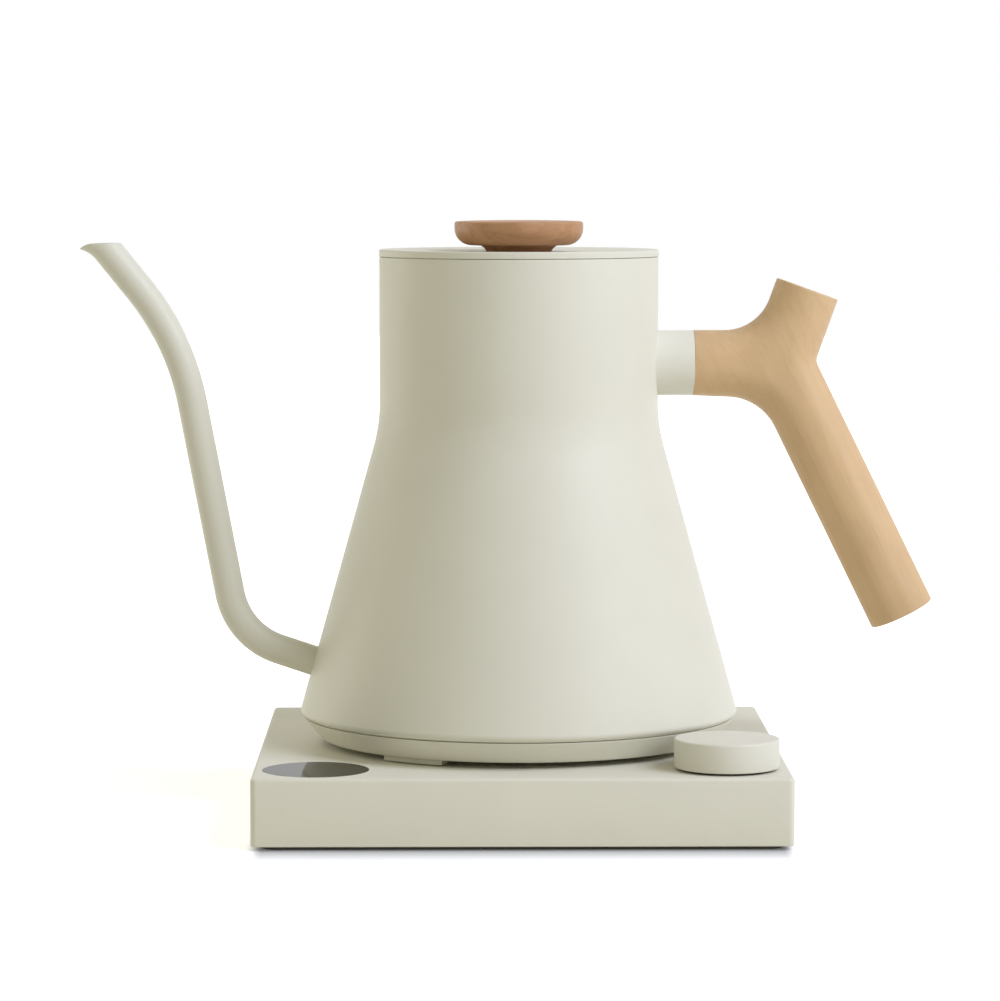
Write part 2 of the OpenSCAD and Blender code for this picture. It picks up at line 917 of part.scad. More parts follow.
// half outline of the body, set in from the outside by t and ending at height z1
module body_half(t, z1) {
  cone_top = [
    neck_r + flare_r - (flare_r + t) * cos(cone_a),
    z_neck - (flare_r + t) * sin(cone_a)
  ];
  difference() {
    polygon(concat(
      [[0, zb0 + t]],
      arc([low_x, zb0 + low_r], low_r - t, -90, cone_a, 6),
      [cone_top, [neck_r - t, z_neck], [neck_r - t, z1], [0, z1]]
    ));
    translate([neck_r + flare_r, z_neck])
      circle(flare_r + t, $fn = 180);
  }
}

// the body's outside as a full solid, made larger by g
module body_solid(g) {
  rotate_extrude($fn = 120)
    body_half(-g, z_rim);
}

// pressed and welded steel shell, open at the rim and below
module kettle_body() {
  color([0.83, 0.82, 0.75])
    difference() {
      rotate_extrude($fn = 120)
        difference() {
          body_half(0, z_rim);
          body_half(body_wall, z_rim + cut);
          translate([-1, zb0 - cut])
            square([mouth_low_r + 1, 2]);
        }
      spout_leg(spout_r - spout_wall, 8, 8);
    }
}

// ---------------------------------------------------------------- spout

// straight bar along the first stretch, from back mm inside to out mm outside
module spout_leg(r, back, out) {
  translate([sp0[0], 0, sp0[1]])
    rotate([0, -90 + spout_out_a, 0])
      bar(r, -back, out);
}

// straight length of tube from point p at angle a over level, its ends let into the bends
module spout_run(p, a, len) {
  translate([p[0], 0, p[1]])
    rotate([0, a - 90, 0])
      ring(spout_r - spout_wall, spout_r, -bend_lap, len + bend_lap);
}

// bent length of tube about point c, from angle a0 through turn da
module spout_bend(c, r, a0, da) {
  translate([c[0], 0, c[1]])
    rotate([90, 0, 0])
      rotate(a0)
        rotate_extrude(angle = da)
          translate([r, 0])
            difference() {
              circle(spout_r + bend_swell);
              circle(spout_r - spout_wall - bend_swell);
            }
}

// what is cut away above the mouth: level at the back, drooping in a round towards the lip's tip
module mouth_cut() {
  rotate([90, 0, 0])
    translate([mouth_x - lip_flat, mouth_z, -20])
      linear_extrude(40)
        difference() {
          translate([-lip_droop_r - 20, -lip_droop_r])
            square([lip_droop_r + 50, lip_droop_r + 30]);
          translate([0, -lip_droop_r])
            circle(lip_droop_r, $fn = 180);
          translate([0, -lip_droop_r - 1])
            square([40, lip_droop_r + 1]);
        }
}

// one bent steel tube, welded round the port in the body's wall, its end curled into a pouring lip
module spout_tube() {
  color([0.84, 0.83, 0.76])
    union() {
      difference() {
        spout_run(sp0 - 8 * dir(spout_out_a), spout_out_a, spout_out + 8);
        body_solid(fit);
      }
      spout_bend(bend1_c, spout_bend_low, 270 - spout_rise_a, spout_rise_a - spout_out_a);
      spout_run(sp2, spout_rise_a, riser);
      spout_bend(bend2_c, spout_bend_top, 90 - spout_rise_a, spout_rise_a - spout_tip_a);
      difference() {
        union() {
          spout_run(sp4, spout_tip_a, spout_tip - lip_back);
          spout_bend(lip_c, lip_curl_r, 90 - spout_tip_a, 48);
        }
        mouth_cut();
      }
    }
}

// ---------------------------------------------------------------- heating floor

// slice of the body's inside, set in by t, between two heights
module inside_slice(t, z0, z1) {
  intersection() {
    rotate_extrude($fn = 120)
      body_half(t, z_rim);
    bar(body_r + 5, z0, z1);
  }
}

// steel floor of the water space, with a rim welded to the wall
module kettle_floor() {
  color([0.75, 0.75, 0.76])
    difference() {
      inside_slice(body_wall + fit, z_floor - floor_rim, z_floor);
      inside_slice(body_wall + fit + 1, z_floor - floor_rim - cut, z_floor - floor_t);
      rotate(300)
        translate([probe_at, 0, 0])
          bar(3.2, z_floor - 3, z_floor + cut);
    }
}

// aluminium plate that spreads the heat
module heat_spreader() {
  color([0.8, 0.8, 0.82])
    difference() {
      bar(spread_r, z_spread, z_floor - floor_t - fit);
      rotate(300)
        translate([probe_at, 0, 0])
          bar(5.4, z_spread - cut, z_floor);
    }
}

// sheathed heating element, bent to a horseshoe, with a cold pin at each end
module heater_tube() {
  color([0.55, 0.53, 0.5])
    translate([0, 0, z_spread - heater_r - fit])
      union() {
        rotate(90 + heater_gap_a)
          rotate_extrude(angle = 360 - 2 * heater_gap_a)
            translate([heater_at, 0])
              circle(heater_r);
        for (s = [-1, 1])
          rotate(90 + s * heater_gap_a)
            translate([heater_at, 0, 0])
              rotate([s * 90, 0, 0])
                translate([0, 0, -0.2])
                  cylinder(r = cold_pin_r, h = cold_pin_len);
      }
}

// three threaded posts welded under the floor
module floor_studs() {
  color([0.7, 0.7, 0.72])
    at_three(stud_at, 28)
      difference() {
        bar(stud_r, zc0 + cap_t + 2 + fit, z_floor - floor_t - fit);
        bar(screw_r, zc0, z_floor - floor_t - 4);
      }
}

module thermal_cutout() {
  color([0.85, 0.8, 0.7])
    translate([-probe_at, 0, 0])
      union() {
        bar(6.6, z_spread - 2.4, z_spread - fit);
        bar(5, z_spread - 5, z_spread - 2);
        for (y = [-1, 1])
          translate([0, y * 2.6, 0])
            block(0.8, 1.6, z_spread - 8, z_spread - 4);
      }
}

module temperature_probe() {
  color([0.75, 0.75, 0.77])
    rotate(300)
      translate([probe_at, 0, 0])
        union() {
          bar(2, z_spread - 3, z_floor + 7);
          translate([0, 0, z_floor + 7])
            sphere(2);
        }
}

module probe_seal() {
  color([0.6, 0.25, 0.2])
    rotate(300)
      translate([probe_at, 0, 0])
        difference() {
          union() {
            bar(3.2 - fit, z_floor - floor_t - 1, z_floor + 0.8);
            bar(4.6, z_floor + fit, z_floor + 0.9);
            bar(5, z_spread, z_floor - floor_t - fit);
          }
          bar(2 + fit, z_spread - cut, z_floor + 2);
        }
}

// ---------------------------------------------------------------- kettle connector and cap

// socket that drops over the hub of the base
module kettle_connector() {
  color([0.2, 0.2, 0.2])
    difference() {
      union() {
        bar(sock_r1, zc0 + 0.2, sock_z + sock_t);
        bar(sock_flange_r, zc0 + cap_t + fit, zc0 + cap_t + 2);
      }
      bar(sock_r0, zc0 - cut, sock_z);
      bar(pin_r + fit, sock_z - cut, sock_z + sock_t + cut);
      ring(blade_r - blade_t - fit, blade_r + fit, sock_z - cut, sock_z + 1.5);
      for (x = [-1, 1])
        translate([x * (blade_r - blade_t / 2), 0, 0])
          bar(0.6, sock_z, sock_z + sock_t + cut);
    }
}

// centre pin and ring blade
module connector_pins() {
  color([0.8, 0.66, 0.35]) {
    union() {
      bar(pin_r, 12, sock_z + sock_t + 0.8);
      translate([0, 0, 11.2])
        cylinder(r1 = pin_r - 0.8, r2 = pin_r, h = 0.8);
    }
    union() {
      ring(blade_r - blade_t, blade_r, 12, sock_z + 1.5 - fit);
      for (x = [-1, 1])
        translate([x * (blade_r - blade_t / 2), 0, 0])
          bar(0.5, sock_z + 1, sock_z + sock_t + 0.8);
    }
  }
}

// leads from the connector's blades to the element's two cold pins
module kettle_leads() {
  color([0.75, 0.2, 0.15])
    for (s = [-1, 1]) {
      x = blade_r - blade_t / 2;
      z = sock_z + sock_t + 0.85 + lead_r;
      pin_y = heater_at * cos(heater_gap_a) + (heater_at * sin(heater_gap_a) - x) * tan(heater_gap_a);
      end_y = pin_y - cold_pin_r / cos(heater_gap_a) - lead_r * tan(heater_gap_a) - fit;
      lead([s * x, -1.2, z], [s * x, end_y - lead_r, z]);
    }
}

// painted cap that closes the body from below
module bottom_cap() {
  color([0.82, 0.81, 0.74])
    difference() {
      union() {
        rotate_extrude($fn = 120)
          polygon([
            [0, zc0], [cap_low_r - 0.8, zc0], [cap_low_r, zc0 + 0.6], [cap_top_r, zc1 - 0.3],
            [cap_top_r - 0.3, zc1], [mouth_low_r - 0.2, zc1], [mouth_low_r - 0.2, zc1 + 2.6],
            [mouth_low_r - 1.8, zc1 + 2.6], [mouth_low_r - 1.8, zc1 - 1.6],
            [cap_low_r - 2.2, zc0 + cap_t], [0, zc0 + cap_t]
          ]);
        at_three(stud_at, 28)
          bar(4.4, zc0 + cap_t - cut, zc0 + cap_t + 2);
      }
      bar(sock_r1 + 0.1, zc0 - cut, zc0 + cap_t + cut);
      at_three(stud_at, 28) {
        bar(screw_r + 0.2, zc0 - cut, zc0 + cap_t + 3);
        bar(head_r + 0.2, zc0 - cut, zc0 + 2.1);
      }
    }
}

module cap_screws() {
  color([0.7, 0.7, 0.7])
    at_three(stud_at, 28)
      translate([0, 0, zc0 + 2.1 - fit])
        screw_up(9);
}

// three curved pads that the kettle stands on
module kettle_feet() {
  color([0.8, 0.79, 0.72])
    for (i = [0:2])
      rotate(238 + i * 120 - foot_pad_a)
        translate([0, 0, z_top + move_gap])
          rotate_extrude(angle = 2 * foot_pad_a, $fn = 120)
            translate([foot_pad_r0, 0])
              square([foot_pad_r1 - foot_pad_r0, cap_gap - move_gap - fit]);
}

// ---------------------------------------------------------------- handle

// along the handle's axis, from x0 to x1 out from the kettle
module handle_bar(r, x0, x1) {
  translate([0, 0, hub_z])
    rotate([0, 90, 0])
      bar(r, x0, x1);
}

// metal collar welded to the neck
module handle_collar() {
  color([0.85, 0.84, 0.78])
    difference() {
      handle_bar(collar_r, neck_r - 6, collar_end);
      handle_bar(bolt_r + 0.2, 0, collar_end + cut);
      handle_bar(5.2, 0, neck_r + 2);
      body_solid(fit);
    }
}

// threaded stud welded to the neck inside the collar
module handle_stud() {
  color([0.72, 0.72, 0.74])
    difference() {
      union() {
        handle_bar(bolt_r, neck_r - 2, bolt_end);
        handle_bar(5, neck_r - 2, neck_r + 1.9);
      }
      body_solid(fit);
    }
}

// brass insert in the wood
module handle_insert() {
  color([0.8, 0.62, 0.3])
    difference() {
      handle_bar(insert_r, collar_end + 0.3, collar_end + 0.3 + insert_len);
      handle_bar(bolt_r + fit, collar_end, bolt_end + 2);
    }
}

// directions of the three branches in the handle's plane
neck_d = [-1, 0];
stub_d = [sin(stub_a), cos(stub_a)];
grip_d = [sin(grip_a), -cos(grip_a)];
function left(d) = [-d[1], d[0]];

// rounded inner corner between branches d0 and d1, whose middle strips are w wide each side
function cove(d0, d1, w, r, n) =
  let (
    half = acos(d0 * d1) / 2,
    mid = (d0 + d1) / norm(d0 + d1),
    c = mid * (w + r) / sin(half),
    p = d0 * ((w + r) / tan(half)),
    q = d1 * ((w + r) / tan(half)),
    a0 = atan2(p[1] - c[1], p[0] - c[0]),
    a1 = atan2(q[1] - c[1], q[0] - c[0])
  )
  arc(c, r, a0, a1, n);

// middle strip of the wood: the full shape is this strip rolled out by wood_r all round
module wood_strip() {
  e = 2 * wood_r;
  polygon(concat(
    cove(neck_d, stub_d, half_neck, cove_top_r + wood_r, 8),
    [stub_d * (stub_len + e) + left(stub_d) * half_stub],
    [stub_d * (stub_len + e) - left(stub_d) * half_stub],
    cove(stub_d, grip_d, half_stub + 0.3, crotch_r + wood_r, 5),
    [grip_d * (grip_len + e) + left(grip_d) * (half_grip - 0.3)],
    [grip_d * (grip_len + e) - left(grip_d) * (half_grip - 0.3)],
    cove(grip_d, neck_d, half_grip, cove_low_r + wood_r, 8),
    [neck_d * (hub_x - collar_end + e) - [0, half_neck]],
    [neck_d * (hub_x - collar_end + e) + [0, half_neck]]
  ));
}

// block that cuts a branch square at length len along d
module end_cut(d, len) {
  rotate(atan2(d[1], d[0]))
    translate([len, -40, -40])
      cube([60, 80, 80]);
}

// wooden handle: one branch to the collar, one thumb rest above, one long grip below
module handle() {
  color([0.78, 0.65, 0.49])
    difference() {
      translate([hub_x, 0, hub_z])
        rotate([90, 0, 0])
          difference() {
            minkowski() {
              linear_extrude(0.02, center = true)
                wood_strip();
              sphere(wood_r, $fn = 40);
            }
            end_cut(neck_d, hub_x - collar_end - fit);
            end_cut(stub_d, stub_len);
            end_cut(grip_d, grip_len);
          }
      handle_bar(insert_r + fit, collar_end - cut, collar_end + insert_len + 0.4);
      handle_bar(bolt_r + 0.3, collar_end, bolt_end + 1);
    }
}

// ---------------------------------------------------------------- lid

// painted sheet cap with a turned-down rim and a shallow dish that the knob stands in
module lid_cap() {
  color([0.82, 0.81, 0.74])
    difference() {
      rotate_extrude($fn = 120)
        polygon(concat(
          [[0, z_lid]],
          [[lid_r, z_lid]],
          arc([dish_r, z_lid_top - lid_edge_r], lid_edge_r, 0, 90, 5),
          [[lid_seat_r, z_seat], [0, z_seat]]
        ));
      rotate_extrude($fn = 120)
        polygon([
          [0, z_lid - cut], [lid_r - lid_skirt, z_lid - cut], [lid_r - lid_skirt, z_lid_top - lid_t],
          [dish_r, z_lid_top - lid_t], [lid_seat_r, z_seat - lid_t], [0, z_seat - lid_t]
        ]);
      bar(2.1, z_lid, z_lid_top + cut);
    }
}

// steel plug under the cap: a shallow pan with a rim
module lid_plug() {
  color([0.75, 0.75, 0.76])
    difference() {
      union() {
        bar(plug_r, plug_z, plug_top);
        bar(lid_r - lid_skirt - fit, z_lid + 0.1, z_lid + 0.9);
      }
      bar(plug_r - plug_wall, plug_z + plug_wall, z_lid_top);
      ring(plug_r - 0.4, plug_r + 1, seal_z, seal_z + seal_h);
    }
}

// silicone seal in the plug's groove
module lid_seal() {
  color([0.85, 0.85, 0.83])
    rotate_extrude($fn = 120)
      polygon([
        [plug_r - 0.4 + fit, seal_z + fit], [plug_r + 0.5, seal_z + fit],
        [seal_r, seal_z + 0.9], [plug_r + 0.7, seal_z + 1.4],
        [seal_r, seal_z + 2.2], [plug_r + 0.5, seal_z + seal_h - fit],
        [plug_r - 0.4 + fit, seal_z + seal_h - fit]
      ]);
}

// turned wooden knob: flat top, round side and a foot that flares up into the underside
module lid_knob() {
  flare = knob_foot_h / (sin(112) - sin(157));
  color([0.68, 0.48, 0.34])
    difference() {
      translate([0, 0, z_knob])
        rotate_extrude()
          polygon(concat(
            [[0, 0]],
            arc([knob_foot_r - flare * cos(157), -flare * sin(157)], flare, 157, 112, 5),
            arc([knob_r - knob_side_r, knob_foot_h + knob_side_r], knob_side_r, -90, 0, 8),
            arc([knob_r - knob_edge_r, knob_h - knob_edge_r], knob_edge_r, 0, 90, 4),
            [[0, knob_h]]
          ));
      bar(3.2 + fit, z_knob - cut, z_knob + 7);
    }
}

module knob_screw() {
  color([0.7, 0.7, 0.72])
    union() {
      bar(4, z_seat - lid_t - 2.4, z_seat - lid_t - fit);
      bar(2, z_seat - lid_t - 0.5, z_knob + 6);
    }
}

module knob_insert() {
  color([0.8, 0.62, 0.3])
    ring(2 + fit, 3.2, z_knob + 0.3, z_knob + 6.8);
}

// ---------------------------------------------------------------- nodes

base_housing();
base_plate();
foot_ring();
plate_screws();
base_connector();
connector_screws();
contact_springs();
display_lens();
display_module();
control_board();
buzzer();
encoder_body();
encoder_nut();
dial_board();
power_board();
relay();
transformer();
capacitor();
terminal_block();
board_screws();
cord_gland();
cord_clamp();
clamp_screws();
base_leads();
signal_cable();
encoder_rotor();
encoder_shaft();
dial_hub();
dial_knob();
kettle_body();
spout_tube();
kettle_floor();
heat_spreader();
heater_tube();
floor_studs();
thermal_cutout();
temperature_probe();
probe_seal();
kettle_connector();
connector_pins();
kettle_leads();
bottom_cap();
cap_screws();
kettle_feet();
handle_collar();
handle_stud();
handle_insert();
handle();
lid_cap();
lid_plug();
lid_seal();
lid_knob();
knob_screw();
knob_insert();
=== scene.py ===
from math import acos, atan2, cos, degrees, hypot, pi, radians, sin, sqrt, tan

import bmesh
import bpy
from mathutils import Matrix, Vector


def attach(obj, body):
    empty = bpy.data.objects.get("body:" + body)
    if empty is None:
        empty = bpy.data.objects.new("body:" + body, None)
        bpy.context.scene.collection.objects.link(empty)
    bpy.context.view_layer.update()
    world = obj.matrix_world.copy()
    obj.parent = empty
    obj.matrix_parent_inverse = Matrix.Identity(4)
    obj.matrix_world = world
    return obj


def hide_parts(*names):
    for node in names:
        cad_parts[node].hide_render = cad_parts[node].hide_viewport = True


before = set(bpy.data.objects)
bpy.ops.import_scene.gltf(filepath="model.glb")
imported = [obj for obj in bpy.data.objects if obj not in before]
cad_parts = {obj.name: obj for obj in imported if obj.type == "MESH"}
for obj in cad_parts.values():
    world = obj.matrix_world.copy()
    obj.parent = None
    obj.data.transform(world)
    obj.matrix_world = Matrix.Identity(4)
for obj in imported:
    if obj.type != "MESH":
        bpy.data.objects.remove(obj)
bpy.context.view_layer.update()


# ---------------- camera
# A long lens nearly 1.4 m in front of the kettle, a little over the lid and
# tipped down, so that a thin slice of the base's top shows.

def placed(name, data):
    """A new object in the scene."""
    holder = bpy.data.objects.new(name, data)
    bpy.context.scene.collection.objects.link(holder)
    return holder


camera_at, tipped_down, turned_right = (-0.020988, -1.36761, 0.217395), 4.661, 0.612
camera_lens = bpy.data.cameras.new("front_camera")
camera_lens.sensor_fit = "HORIZONTAL"
camera_lens.sensor_width = 36
camera_lens.lens = 145.07
front_camera = placed("front_camera", camera_lens)
front_camera.location = camera_at
front_camera.rotation_euler = (radians(90 - tipped_down), 0, radians(-turned_right))
bpy.context.scene.camera = front_camera


# ---------------- studio
# A white floor under a white surround, with a short soft shadow painted on the
# floor in front of the base, a broad soft lamp to the right and a weaker one to
# the left and behind.

bpy.context.scene.view_settings.view_transform = "Standard"


def add(tree, kind, **sockets):
    """A node of a tree. Its inputs go by name or as N0, N1 and so on, its settings in small letters."""
    made = tree.nodes.new(kind)
    for name, value in sockets.items():
        if name[0].islower():
            setattr(made, name, value)
    for name, value in sockets.items():
        if name[0].islower():
            continue
        found = [s for s in made.inputs if s.name == name.replace("_", " ") and s.enabled]
        if name[0] == "N" and name[1:].isdigit():
            found = [made.inputs[int(name[1:])]]
        if isinstance(value, bpy.types.NodeSocket):
            tree.links.new(value, found[0])
        else:
            found[0].default_value = value
    return made


def given(tree, kind, **sockets):
    """The first output of a new node."""
    return add(tree, kind, **sockets).outputs[0]


def new_finish(name):
    """A material with nothing on it yet, its tree, and the place on the piece that patterns follow."""
    material = bpy.data.materials.new(name)
    material.use_nodes = True
    tree = material.node_tree
    tree.nodes.clear()
    return material, tree, add(tree, "ShaderNodeTexCoord").outputs["Object"]


def reckon(tree, operation, first, second=0.5):
    """A sum with one or two values."""
    return given(tree, "ShaderNodeMath", operation=operation, N0=first, N1=second)


def ranged(tree, value, low, high, low_out, high_out, **own):
    """A value carried over from one range to another, and held at its ends."""
    return given(
        tree, "ShaderNodeMapRange", Value=value,
        From_Min=low, From_Max=high, To_Min=low_out, To_Max=high_out, **own,
    )


def blend(tree, share, first, second, way="MIX"):
    """The first colour where the share is 0 and the second where it is 1."""
    first, second = [c if isinstance(c, bpy.types.NodeSocket) else (*c, 1) for c in (first, second)]
    made = add(tree, "ShaderNodeMix", data_type="RGBA", blend_type=way, N0=share, N6=first, N7=second)
    return made.outputs[2]


def seen_directly(tree):
    """1 for what the camera, a shiny face or a glass face sees, and 0 for what lights the kettle."""
    path = add(tree, "ShaderNodeLightPath").outputs
    seen_or_mirrored = reckon(tree, "MAXIMUM", path["Is Camera Ray"], path["Is Glossy Ray"])
    return reckon(tree, "MAXIMUM", seen_or_mirrored, path["Is Transmission Ray"])


surround = bpy.data.worlds.new("white_surround")
surround.use_nodes = True
sky = surround.node_tree
sky.nodes.clear()
soft_fill = given(sky, "ShaderNodeBackground", Color=(1.0, 0.945, 0.70, 1), Strength=0.40)
plain_white = given(sky, "ShaderNodeBackground", Color=(1, 1, 1, 1), Strength=1.0)
either = given(sky, "ShaderNodeMixShader", N0=seen_directly(sky), N1=soft_fill, N2=plain_white)
add(sky, "ShaderNodeOutputWorld", Surface=either)
bpy.context.scene.world = surround

floor_paint, ground, floor_place = new_finish("white_floor")
# Painted shadow: close in front of the base the floor's own colour and its glow are darkened by place alone,
# fading forwards over a few centimetres, as a contact shadow.
painted_shade_side, painted_shade_front, painted_shade_end = (0.0835, 0.0895), (-0.060, -0.040), (-0.0825, -0.1225)
painted_shade_darkest, painted_shade_fall = 0.18, 1.5
floor_parts = add(ground, "ShaderNodeSeparateXYZ", Vector=floor_place)
to_side = reckon(ground, "ABSOLUTE", floor_parts.outputs["X"])
inside = ranged(ground, to_side, *painted_shade_side, 1, 0, interpolation_type="SMOOTHSTEP")
in_front = ranged(ground, floor_parts.outputs["Y"], *painted_shade_front, 1, 0)
fading = ranged(ground, floor_parts.outputs["Y"], *painted_shade_end, 1, 0)
faded = reckon(ground, "POWER", fading, painted_shade_fall)
hold = reckon(ground, "MULTIPLY", inside, in_front)
# The painted shade: 1 on the open floor, down to its darkest value just in front of the base.
painted_shade = ranged(ground, reckon(ground, "MULTIPLY", faded, hold), 0, 1, 1, painted_shade_darkest)
painted_shadow_white = blend(ground, painted_shade, (0, 0, 0), (0.93, 0.95, 1.0))
matt_white = given(ground, "ShaderNodeBsdfDiffuse", Color=(0.86, 0.835, 0.74, 1))
lifted_white = given(ground, "ShaderNodeBsdfDiffuse", Color=painted_shadow_white)
far_out = add(ground, "ShaderNodeVectorMath", operation="LENGTH", N0=floor_place).outputs["Value"]
glow_share = ranged(ground, far_out, 0.12, 1, 0.58, 1)
glow_left = reckon(ground, "MULTIPLY", glow_share, painted_shade)
glow = given(ground, "ShaderNodeEmission", Color=(1, 1, 1, 1), Strength=glow_left)
bright_floor = given(ground, "ShaderNodeAddShader", N0=lifted_white, N1=glow)
floor_mix = given(ground, "ShaderNodeMixShader", N0=seen_directly(ground), N1=matt_white, N2=bright_floor)
add(ground, "ShaderNodeOutputMaterial", Surface=floor_mix)

floor_mesh = bpy.data.meshes.new("floor")
floor_mesh.from_pydata([(-4, -4, 0), (4, -4, 0), (4, 4, 0), (-4, 4, 0)], [], [(0, 1, 2, 3)])
floor_mesh.materials.append(floor_paint)
placed("floor", floor_mesh)


def soft_lamp(name, bearing, distance, height, size, watts, colour):
    """A broad lamp that looks at the kettle. Its bearing runs from the front towards the handle."""
    lamp = bpy.data.lights.new(name, "AREA")
    lamp.shape = "RECTANGLE"
    lamp.size, lamp.size_y = size
    lamp.energy = watts
    lamp.color = colour
    around = radians(bearing)
    place = Vector((sin(around) * distance, -cos(around) * distance, height))
    holder = placed(name, lamp)
    holder.location = place
    holder.rotation_euler = (Vector((0, 0, 0.09)) - place).to_track_quat("-Z", "Y").to_euler()


soft_lamp("lamp_right", 58, 1.6, 1.35, (1.1, 1.2), 29.0, (0.90, 0.95, 1.16))
soft_lamp("lamp_left", -114, 1.3, 0.35, (0.7, 1.1), 4.2, (1.0, 0.99, 0.95))


# ---------------- base housing
# Injection-moulded plastic tray, open below and painted to match the kettle.
# Round edges run along its top and its corners; the display and the dial sit in it.

base_half, wall_half = 0.0875, 0.0853
base_low, ceiling, base_top = 0.0014, 0.0210, 0.0235
corner_r, edge_r, foot_edge_r = 0.0020, 0.0012, 0.0004
hub_hole_r, dial_hole_r, lens_hole_r, ledge_r = 0.0208, 0.0037, 0.0174, 0.0145
lens_depth, hole_break = 0.0016, 0.0002
gland_z = 0.0120
dial_at = Vector((0.0668, -0.0668, 0))
display_at = Vector((-0.0671, -0.0665, 0))


def closed_mesh(bm, name):
    """A mesh from closed shells, with its doubles merged and its faces turned outwards."""
    bmesh.ops.remove_doubles(bm, verts=bm.verts, dist=1e-7)
    bmesh.ops.recalc_face_normals(bm, faces=bm.faces)
    mesh = bpy.data.meshes.new(name)
    bm.to_mesh(mesh)
    bm.free()
    return mesh


def finish(name, mesh, body, material, node, sharp=38):
    """Turns a mesh into a finished piece: shaded by angle, dressed, and riding on its body."""
    if isinstance(mesh, bmesh.types.BMesh):
        mesh = closed_mesh(mesh, name)
    mesh.name = name
    for face in mesh.polygons:
        face.use_smooth = True
    mesh.set_sharp_from_angle(angle=radians(sharp))
    mesh.materials.clear()
    mesh.materials.append(material)
    piece = placed(name, mesh)
    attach(piece, body)
    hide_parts(node)
    return piece


def arc(cx, cy, r, a0, a1, n):
    """Points of an arc about (cx, cy), from angle a0 to angle a1 in degrees."""
    angles = [radians(a0 + (a1 - a0) * i / n) for i in range(n + 1)]
    return [(cx + r * cos(a), cy + r * sin(a)) for a in angles]


def circle_ring(bm, at, r, z, n):
    """One level loop round an upright axis."""
    angles = [2 * pi * k / n for k in range(n)]
    return [bm.verts.new((at[0] + r * cos(a), at[1] + r * sin(a), z)) for a in angles]


def band(bm, low, high):
    """Faces between two loops of the same count, or between a loop and a pole."""
    n = max(len(low), len(high))
    for k in range(n if n > 1 else 0):
        k2 = (k + 1) % n
        if len(low) == 1:
            corners = (low[0], high[k2], high[k])
        elif len(high) == 1:
            corners = (low[k], low[k2], high[0])
        else:
            corners = (low[k], low[k2], high[k2], high[k])
        bm.faces.new(corners)


def bands(bm, loops):
    """Faces between each loop and the next."""
    for low, high in zip(loops, loops[1:]):
        band(bm, low, high)


def turned(bm, outline, steps, at=(0, 0, 0)):
    """Revolves a closed outline of (radius, height) points. Points on the axis close to a pole."""
    rings = []
    for r, z in outline:
        if r < 1e-7:
            rings.append([bm.verts.new((at[0], at[1], z + at[2]))])
        else:
            rings.append(circle_ring(bm, at, r, z + at[2], steps))
    bands(bm, rings)
    if len(rings[0]) > 1 and len(rings[-1]) > 1:
        band(bm, rings[-1], rings[0])


def square_ring(bm, half, r, z, n=8):
    """One loop round a square with round corners."""
    loop = []
    for turn, (sx, sy) in enumerate(((1, 1), (-1, 1), (-1, -1), (1, -1))):
        for x, y in arc(sx * (half - r), sy * (half - r), r, 90 * turn, 90 * turn + 90, n):
            loop.append(bm.verts.new((x, y, z)))
    return loop


def flat_with_holes(bm, loops):
    """A flat face between an outer loop and the loops of its holes."""
    edges = []
    for loop in loops:
        for k in range(len(loop)):
            pair = (loop[k], loop[(k + 1) % len(loop)])
            edges.append(bm.edges.get(pair) or bm.edges.new(pair))
    bmesh.ops.triangle_fill(bm, use_beauty=True, use_dissolve=False, edges=edges)


def noise(tree, place, scale, detail, roughness, distortion=0.0):
    """Soft random patches from 0 to 1. The scale says about how many there are to the metre."""
    return add(
        tree, "ShaderNodeTexNoise", Vector=place,
        Scale=scale, Detail=detail, Roughness=roughness, Distortion=distortion,
    ).outputs["Fac"]


def bumped(tree, strength, distance, height, under=None, **own):
    """Fine relief in a face, laid over the relief under it where there is one."""
    if under is not None:
        own["Normal"] = under
    return given(tree, "ShaderNodeBump", Strength=strength, Distance=distance, Height=height, **own)


def toned(colour, factor, lift=0):
    """A colour made darker or lighter."""
    return tuple(min(1, c * factor + lift) for c in colour)


def surface(tree, colour, gloss, relief, **own):
    """The face that shows, with its colour, roughness and relief."""
    face = given(tree, "ShaderNodeBsdfPrincipled", Base_Color=colour, Roughness=gloss, Normal=relief, **own)
    add(tree, "ShaderNodeOutputMaterial", Surface=face)


def powder_coat(name, colour, grain=1.0, rough=0.46):
    """Matt powder coat: a fine orange-peel skin, faint clouds in the colour, and a slightly uneven gloss."""
    coat, tree, place = new_finish(name)
    clouds = noise(tree, place, 38, 3, 0.6)
    specks = noise(tree, place, 2400, 2, 0.55)
    peel = noise(tree, place, 950, 3, 0.5)
    tone = blend(tree, clouds, toned(colour, 0.955), toned(colour, 1.02))
    speck_share = ranged(tree, specks, 0.62, 0.8, 0, 0.22)
    speckled = blend(tree, speck_share, tone, toned(colour, 0.9))
    gloss = ranged(tree, peel, 0.3, 0.7, rough - 0.05, rough + 0.06)
    skin = bumped(tree, 0.22 * grain, 0.00006, peel)
    pores = bumped(tree, 0.12 * grain, 0.00003, specks, skin)
    surface(tree, speckled, gloss, pores, Specular_IOR_Level=0.36)
    return coat


cream = (0.735, 0.722, 0.622)
base_paint = powder_coat("base_paint", (0.765, 0.750, 0.650), 0.8, 0.5)

housing = bmesh.new()
outer = []
for x, z in arc(-foot_edge_r, base_low + foot_edge_r, foot_edge_r, -90, 0, 3):
    outer.append(square_ring(housing, base_half + x, corner_r + x, z))
for x, z in arc(-edge_r, base_top - edge_r, edge_r, 0, 90, 9):
    outer.append(square_ring(housing, base_half + x, corner_r + x, z))
bands(housing, outer)

